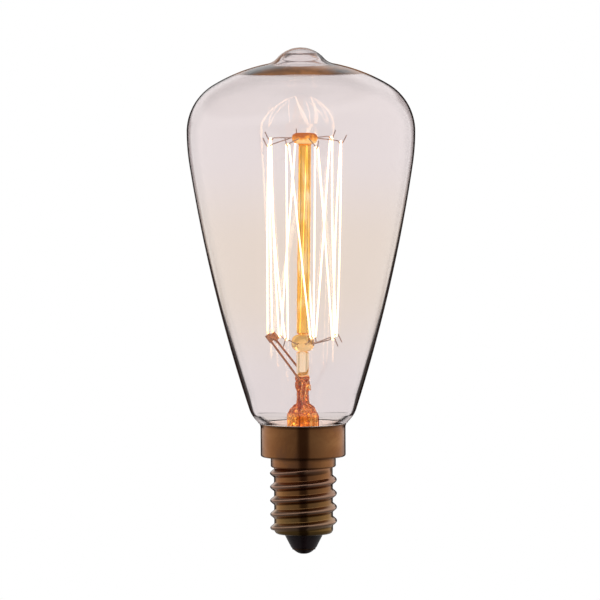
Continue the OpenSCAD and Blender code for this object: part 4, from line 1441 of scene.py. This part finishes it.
    def lead_exit(self, i: int) -> Points:
        """Where an inner lead leaves the press, in the rod's frame."""
        return self.mount.lean(self.on_ring(self.wire_turns[i], self.wire_r, self.mount.press_z + 0.1), -1)[0]

    def lead_end(self, i: int) -> Points:
        """The end of an inner lead, in the rod's frame."""
        turn, radius, above = self.lead_ends[i]
        return self.on_ring(turn, radius, self.mount.lower_button[2] + above)

    def lead_way(self, i: int) -> Points:
        """Direction of an inner lead's straight part."""
        way = self.lead_end(i) - self.lead_exit(i)
        return way / np.linalg.norm(way)

    def build_leads(self, wire: NodeRecipe) -> None:
        """Makes the inner leads, the wires sealed in the press and the outer leads.

        Args:
            wire: the tree that makes wire along paths.
        """
        mount = self.mount
        nickel, copper = WireMetal.NICKEL.material(), WireMetal.COPPER.material()
        low, high = mount.ceiling_z - self.seal_tail, mount.press_z - self.lead_seat
        for i, turn in enumerate(self.wire_turns):
            start, way = self.lead_exit(i), self.lead_way(i)
            foot = [self.on_ring(turn, self.wire_r, mount.press_z - drop) for drop in (self.lead_seat, 0.5, 0.15)]
            reach = np.linalg.norm(self.lead_end(i) - start)
            run = [start + d * way for d in (0.3, 1.5, reach / 2, reach - 0.5, reach)]
            path = mount.lean(np.array([*mount.lean(np.array(foot), -1), start, *run]))
            size = (self.lead_d, 0.25, 16)
            self.draw(wire, f"lead_wire_{i + 1}", [path], size, nickel, (f"inner_lead_{i + 1}",))
            path = np.array([self.on_ring(turn, self.wire_r, z) for z in np.linspace(low, high, 6)])
            size = (self.seal_wire_d, 0.3, 14)
            self.draw(wire, f"press_wire_{i + 1}", [path], size, copper, (f"seal_wire_{i + 1}",))
        for i, path in enumerate(self.outer_paths()):
            size = (self.outer_lead_d, 0.25, 12)
            self.draw(wire, f"cap_wire_{i + 1}", [path], size, copper, (f"outer_lead_{i + 1}",))

    def outer_paths(self) -> list[Points]:
        """Paths of the wires from the press to the centre contact and to the shell.

        Returns:
            The points of both paths.
        """
        mount, cap = self.mount, self.cap
        turn_a, turn_b = self.wire_turns
        top_z, seal_z = mount.ceiling_z - self.seal_tail, mount.seal_z
        tip_z, tube_d = mount.exhaust_tip_z, 2 * mount.exhaust_r
        # Past the exhaust tube's tip and down the middle of the insulator.
        first = [
            self.on_ring(turn_a, self.wire_r, top_z),
            self.on_ring(turn_a, self.wire_r, seal_z),
            self.on_ring(turn_a, 1.12 * self.wire_r, tip_z + tube_d / 2),
            self.on_ring(turn_a, 0.8 * self.wire_r, tip_z - 0.7 * tube_d),
            self.on_ring(turn_a, 0.26 * self.wire_r, 1.28 * cap.insulator_top_z),
            [0, 0, 1.07 * cap.insulator_top_z],
            [0, 0, 0.85 * cap.insulator_top_z],
            [0, 0, 0.6 * cap.contact_z],
        ]
        # Down out of the stem and back through the hole in the shell.
        start = self.on_ring(turn_b, self.wire_r, seal_z)
        second = [self.on_ring(turn_b, self.wire_r, top_z), start + [0, 0, 0.25]]
        for f in (0.09, 0.24, 0.45, 0.66):
            y, z = start[1] + f * (cap.band_r - start[1]), cap.hole_z + (seal_z - cap.hole_z) * (1 - f) ** 6
            second.append([start[0] * (1 - f) ** 2, y, z])
        second.append([0, cap.band_r + 0.25, cap.hole_z])
        return [np.array(first), np.array(second)]

    def bend(self, turn: float, radius: float, height: float, way: int) -> list[Points]:
        """The filament's turn over or under one hook, from its left to its right.

        Args:
            turn: the hook's direction round the rod in degrees.
            radius: distance of its seat from the rod's middle.
            height: height of the seat.
            way: 1 over an upper hook and -1 under a lower one.

        Returns:
            The points in the rod's frame.
        """
        loop = (self.hook_wire_d + self.filament_d) / 2 + self.hook_gap
        side = np.array([-math.sin(math.radians(turn)), math.cos(math.radians(turn)), 0.0])
        angles = [math.radians(180 - 45 * i) for i in range(5)]
        middle = self.on_ring(turn, radius, height)
        return [middle + loop * (math.cos(a) * side + np.array([0, 0, way * math.sin(a)])) for a in angles]

    def clamped_end(self, i: int) -> list[Points]:
        """The end of the filament that lies in its clamp, and its way out of it.

        Args:
            i: number of the lead, from 0.

        Returns:
            The points in the rod's frame.
        """
        way = self.lead_way(i)
        side = np.array([0.0, 0.0, 1.0]) - way[2] * way
        side /= np.linalg.norm(side)
        end = self.lead_end(i) + ((self.lead_d + self.filament_d) / 2 + self.clamp_gap) * side
        return [end - 0.9 * self.clamp_l * way, end - 0.02 * way, end + 0.25 * way + np.array([0, 0, 0.12])]

    def filament_path(self) -> tuple[Points, Points]:
        """The filament's middle line and its heat, which falls where it touches metal.

        Returns:
            The points in the rod's frame, and one heat from 0 to 1 for each.
        """
        high, low = self.mount.upper_button[2], self.mount.lower_button[2]
        uppers = [self.bend(turn, self.upper_ring_r, high - drop, 1) for turn, drop in self.upper_hooks]
        lowers = [self.bend(turn, self.lower_ring_r, low + rise, -1) for turn, rise in self.lower_hooks]
        stops = [self.clamped_end(0), uppers[0]]
        for pair in zip(lowers, uppers[1:]):
            stops += pair
        stops.append(self.clamped_end(1)[::-1])
        points: list[Points] = []
        heat: list[float] = []
        for i, stop in enumerate(stops):
            points += stop
            clamped = i in (0, len(stops) - 1)
            heat += [0.0] * len(stop) if clamped else [0.55, 0.4, 0.35, 0.4, 0.55]
            if i == len(stops) - 1:
                break
            a, b = stop[-1], stops[i + 1][0]
            middle = (a + b) / 2 * [1, 1, 0]
            out = middle / np.linalg.norm(middle)
            for f in (0.04, 0.15, 0.38, 0.62, 0.85, 0.96):
                points.append(a + f * (b - a) + 4 * f * (1 - f) * self.bows[i] * out)
                heat.append(1.0 if 0.1 < f < 0.9 else 0.85)
        return np.array(points), np.array(heat)

    def build_filament(self) -> None:
        """Makes the wound filament, whose turns are drawn coarser than real ones so that they show at all."""
        points, heat = self.filament_path()
        made = self.paths_object("wound_filament", [self.mount.lean(points)])
        store(made, "glow", heat)
        glow = GlowingTungsten().material()
        self.coil_tree().run(
            made,
            glow,
            Coil_Radius=(self.filament_d - self.coil_wire_d) / 2 * MM,
            Wire_Radius=self.coil_wire_d / 2 * MM,
            Rise=self.coil_rise * MM,
            Step=self.coil_rise * MM / self.coil_steps,
            Sides=4,
        )
        finish_piece(made, glow, ("filament",))

    def build(self) -> None:
        """Makes all wires and dresses the clamps."""
        wire = self.wire_tree("drawn_wire", 10, (), [])
        self.build_hooks(wire)
        self.build_leads(wire)
        self.build_filament()
        nickel = bpy.data.materials[WireMetal.NICKEL.value[0]]
        for i in (1, 2):
            dress_node(f"filament_clamp_{i}", nickel)


# What the lens does with light that is brighter than white: a soft warm glow round the filament.
BLOOM = {"Threshold": 1.2, "Maximum": 3.0, "Clamp": True, "Strength": 0.13, "Size": 0.6, "Tint": (1.0, 0.85, 0.6, 1.0)}


@dataclass
class Studio:
    """Pale floor, soft studio light and the camera, at the photograph's angle."""

    elevation_deg: float = 4.5
    distance: float = 3000.0
    mm_per_pixel: float = 0.2057
    image: int = 600
    foot_row: float = 553.3  # image row of the lamp's foot
    axis_column: float = 299.53  # where the lamp's axis meets row 0
    axis_slope: float = 0.0070  # columns that the axis moves to the right in one row
    sensor: float = 36.0
    # Angles off the backdrop's middle where it ends and is full, and where the white walls start and are full.
    backdrop_deg: Pair = (26.0, 16.0)
    beyond_deg: Pair = (38.0, 50.0)
    dark: float = 0.5
    white: float = 0.95
    # The room's brightness from straight behind the lamp (0) over its sides (0.5) to the camera (1).
    softboxes: tuple[Pair, ...] = (
        (0.0, 0.03), (0.06, 0.04), (0.09, 1.2), (0.17, 1.05), (0.42, 0.78), (0.62, 0.6), (0.77, 0.47), (0.89, 0.36),
        (0.972, 0.3), (0.99, 0.07),
    )
    # The softbox above: its direction, where it takes over from the room, and where it gives way to the ceiling. Then
    # its brightness and the ceiling's, for mirrored light and for light that comes through glass.
    ceiling_way: Triple = (-0.25, 0.25, 0.92)
    ceiling_at: Pair = (0.34, 0.44)
    ceiling_box: Pair = (0.56, 0.74)
    ceiling_mirrored: Pair = (0.95, 0.25)
    ceiling_refracted: Pair = (0.9, 0.8)
    # A strip of floor behind the lamp is in shade: compass angles and reaches in mm between which that sets in.
    shade_deg: Pair = (55.0, 38.0)
    shade_near: Pair = (25.0, 60.0)
    shade_far: Pair = (300.0, 170.0)
    shade: float = 0.9
    # The floor is dimmer close to the lamp: reaches in mm between which it brightens, and its level at the first.
    near: Pair = (10.0, 110.0)
    near_level: float = 0.35
    floor_half: float = 30000.0
    middle_z: float = 60.0  # height in the lamp from which glass sees the floor

    def camera(self) -> None:
        """Places the camera, a long lens that looks slightly down and is turned a little."""
        tilt = math.radians(self.elevation_deg)
        middle = (self.image - 1) / 2
        up = (self.foot_row - middle) * self.mm_per_pixel
        across = (middle - self.axis_column - self.axis_slope * middle) * self.mm_per_pixel
        target = Vector((across, 0, up / math.cos(tilt)))
        back = Vector((0, -math.cos(tilt), math.sin(tilt)))
        data = bpy.data.cameras.new("camera")
        data.sensor_width = self.sensor
        data.lens = self.sensor * self.distance / (self.image * self.mm_per_pixel)
        data.clip_start, data.clip_end = 0.1, 100.0
        made = bpy.data.objects.new("camera", data)
        made.matrix_world = (
            Matrix.Translation((target + back * self.distance) * MM)
            @ (-back).to_track_quat("-Z", "Y").to_matrix().to_4x4()
            @ Matrix.Rotation(-math.atan(self.axis_slope), 4, "Z")
        )
        bpy.context.scene.collection.objects.link(made)
        bpy.context.scene.camera = made

    def window(self, tree: bpy.types.NodeTree, way: bpy.types.NodeSocket) -> bpy.types.NodeSocket:
        """White that is seen through glass: the backdrop behind the lamp, a grey gap round it, then white walls.

        The gap draws the glass's dark edges in the picture, and the walls keep the glass clear from other sides.

        Args:
            tree: the node tree that takes the nodes.
            way: direction from the lamp, of any length.

        Returns:
            The output with the brightness.
        """
        tilt = math.radians(self.elevation_deg)
        ends = [[math.cos(math.radians(angle)) for angle in pair] for pair in (self.backdrop_deg, self.beyond_deg)]
        rows = [
            ("unit", "VectorMath NORMALIZE", "way"),
            ("share", "VectorMath DOT_PRODUCT", "unit", (0, math.cos(tilt), -math.sin(tilt))),
            ("backdrop", "MapRange SMOOTHSTEP", "share", *ends[0], self.dark, self.white),
            ("beyond", "MapRange SMOOTHSTEP", "share", *ends[1], self.dark, self.white),
            ("seen", "Math MAXIMUM", "backdrop", "beyond"),
        ]
        return chain(tree, rows, way=way)

    def by_ray(
        self, tree: bpy.types.NodeTree, refracted: bpy.types.NodeSocket, other: bpy.types.NodeSocket
    ) -> bpy.types.NodeSocket:
        """White for the camera, the backdrop for rays that come through glass, and the studio for all others.

        Args:
            tree: the node tree that takes the nodes.
            refracted: what rays through glass see.
            other: what mirrored and scattered light sees.

        Returns:
            The output with the colour.
        """
        rows = [
            ("path", "LightPath"),
            ("glass", "Mix RGBA", "path.Is Transmission Ray", "other", "refracted"),
            ("seen", "Mix RGBA", "path.Is Camera Ray", "glass", (1, 1, 1, 1)),
        ]
        return chain(tree, rows, refracted=refracted, other=other)

    def room(self, tree: bpy.types.NodeTree, way: bpy.types.NodeSocket) -> bpy.types.NodeSocket:
        """The room's brightness by compass direction, as the softboxes stand round the lamp.

        Args:
            tree: the node tree that takes the nodes.
            way: direction from the lamp, of any length.

        Returns:
            The output with the brightness.
        """
        # The dark parts are a little reddish.
        levels = [(position, value, value * (0.82 if value < 0.1 else 1.0)) for position, value in self.softboxes]
        stops = [(position, (value, warm, warm, 1)) for position, value, warm in levels]
        rows = [
            ("split", "SeparateXYZ", "way"),
            ("flat", "Math MULTIPLY", "split.X", "split.X"),
            ("flat", "Math MULTIPLY_ADD", "split.Y", "split.Y", "flat"),
            ("flat", "Math SQRT", "flat"),
            ("front", "Math DIVIDE", "split.Y", "flat"),
            ("front", "Math MULTIPLY_ADD", "front", -0.5, 0.5),
            ("boxes", ("ValToRGB", {"stops": stops}), "front"),
        ]
        return chain(tree, rows, way=way)

    def ceiling(
        self, tree: bpy.types.NodeTree, way: bpy.types.NodeSocket, level: bpy.types.NodeSocket, levels: Pair
    ) -> bpy.types.NodeSocket:
        """Adds the softbox that hangs above and behind the lamp, a little to its left.

        Args:
            tree: the node tree that takes the nodes.
            way: direction from the lamp, of length 1.
            level: the room's brightness without it.
            levels: brightness of the softbox, and of the ceiling over it.

        Returns:
            The output with the brightness.
        """
        rows = [
            ("up", "VectorMath DOT_PRODUCT", "way", self.ceiling_way),
            ("share", "MapRange SMOOTHSTEP", "up", *self.ceiling_at),
            ("box", "MapRange SMOOTHSTEP", "up", *self.ceiling_box, *levels),
            ("seen", "Mix RGBA", "share", "level", "box"),
        ]
        return chain(tree, rows, way=way, level=level)

    def light(self) -> None:
        """Soft light from all round: white behind the lamp, softboxes at its sides, and a dark room in front."""
        world = bpy.data.worlds.new("studio")
        bpy.context.scene.world = world
        world.use_nodes = True
        tree = world.node_tree
        tree.nodes.clear()
        way = add(tree, "TexCoord").outputs["Generated"]
        seen = self.by_ray(
            tree,
            self.ceiling(tree, way, self.window(tree, way), self.ceiling_refracted),
            self.ceiling(tree, way, self.room(tree, way), self.ceiling_mirrored),
        )
        chain(tree, [("light", "Background", "seen", 1.0), ("out", "OutputWorld", {"Surface": "light"})], seen=seen)

    def floor(self) -> None:
        """Makes the floor, which is lit as the room is, but dimmer close to the lamp and in a strip behind it."""
        corners = [[x * self.floor_half, y * self.floor_half, 0] for x, y in ((-1, -1), (1, -1), (1, 1), (-1, 1))]
        made = new_object("floor", np.array(corners), [(0, 1, 2, 3)])
        # Matt white studio floor: pure white to the camera, and the room's light to all that mirrors it.
        material = new_material("white_studio_floor", [])
        tree = material.node_tree
        place = add(tree, "TexCoord").outputs["Object"]
        near, shade_near, shade_far = ([r * MM for r in pair] for pair in (self.near, self.shade_near, self.shade_far))
        rows = [
            ("reach", "VectorMath LENGTH", "place"),
            ("near", "MapRange SMOOTHSTEP", "reach", *near, self.near_level, 1.0),
            ("compass", "VectorMath NORMALIZE", "place"),
            ("compass", "SeparateXYZ", "compass"),
            ("behind", "MapRange SMOOTHSTEP", "compass.Y", *(math.cos(math.radians(a)) for a in self.shade_deg)),
            ("from", "MapRange SMOOTHSTEP", "reach", *shade_near),
            ("to", "MapRange SMOOTHSTEP", "reach", *shade_far),
            ("shade", "Math MULTIPLY", "behind", "from"),
            ("shade", "Math MULTIPLY", "shade", "to"),
            ("open", "Math MULTIPLY_ADD", "shade", -self.shade, 1.0),
            ("near", "Math MULTIPLY", "near", "open"),
            ("lit", "VectorMath SCALE", "room", "near"),
        ]
        lit = chain(tree, rows, place=place, room=self.room(tree, place))
        way = chain(tree, [("way", "VectorMath SUBTRACT", "place", (0, 0, self.middle_z * MM))], place=place)
        seen = self.by_ray(tree, self.window(tree, way), lit)
        chain(tree, [("light", "Emission", "seen", 1.0), ("out", "OutputMaterial", {"Surface": "light"})], seen=seen)
        made.data.materials.append(material)

    def lens(self) -> None:
        """Colours as the light is, and the soft glow that a bright filament leaves in a lens."""
        scene = bpy.context.scene
        scene.view_settings.view_transform = "Standard"
        bounces = {"max_bounces": 24, "transmission_bounces": 24, "glossy_bounces": 12, "transparent_max_bounces": 24}
        for name, value in {**bounces, "sample_clamp_indirect": 0.0}.items():
            setattr(scene.cycles, name, value)
        scene.use_nodes = True
        scene.node_tree.nodes.clear()
        glare = ("CompositorNodeGlare", {"glare_type": "BLOOM", "quality": "HIGH"})
        rows = [
            ("picture", "CompositorNodeRLayers"),
            ("glow", glare, {"Image": "picture", **BLOOM}),
            ("out", "CompositorNodeComposite", {"Image": "glow"}),
        ]
        chain(scene.node_tree, rows)

    def build(self) -> None:
        """Sets up the whole studio."""
        self.camera()
        self.light()
        self.floor()
        self.lens()


def main() -> None:
    """Builds the lamp's pieces in order, then the studio."""
    cap, mount = ScrewCap(), GlassMount()
    for part in (GlassVessel(), cap, mount, WireCage(mount, cap), Studio()):
        LOG.info("building %s", type(part).__name__)
        part.build()


if __name__ == "__main__":
    main()
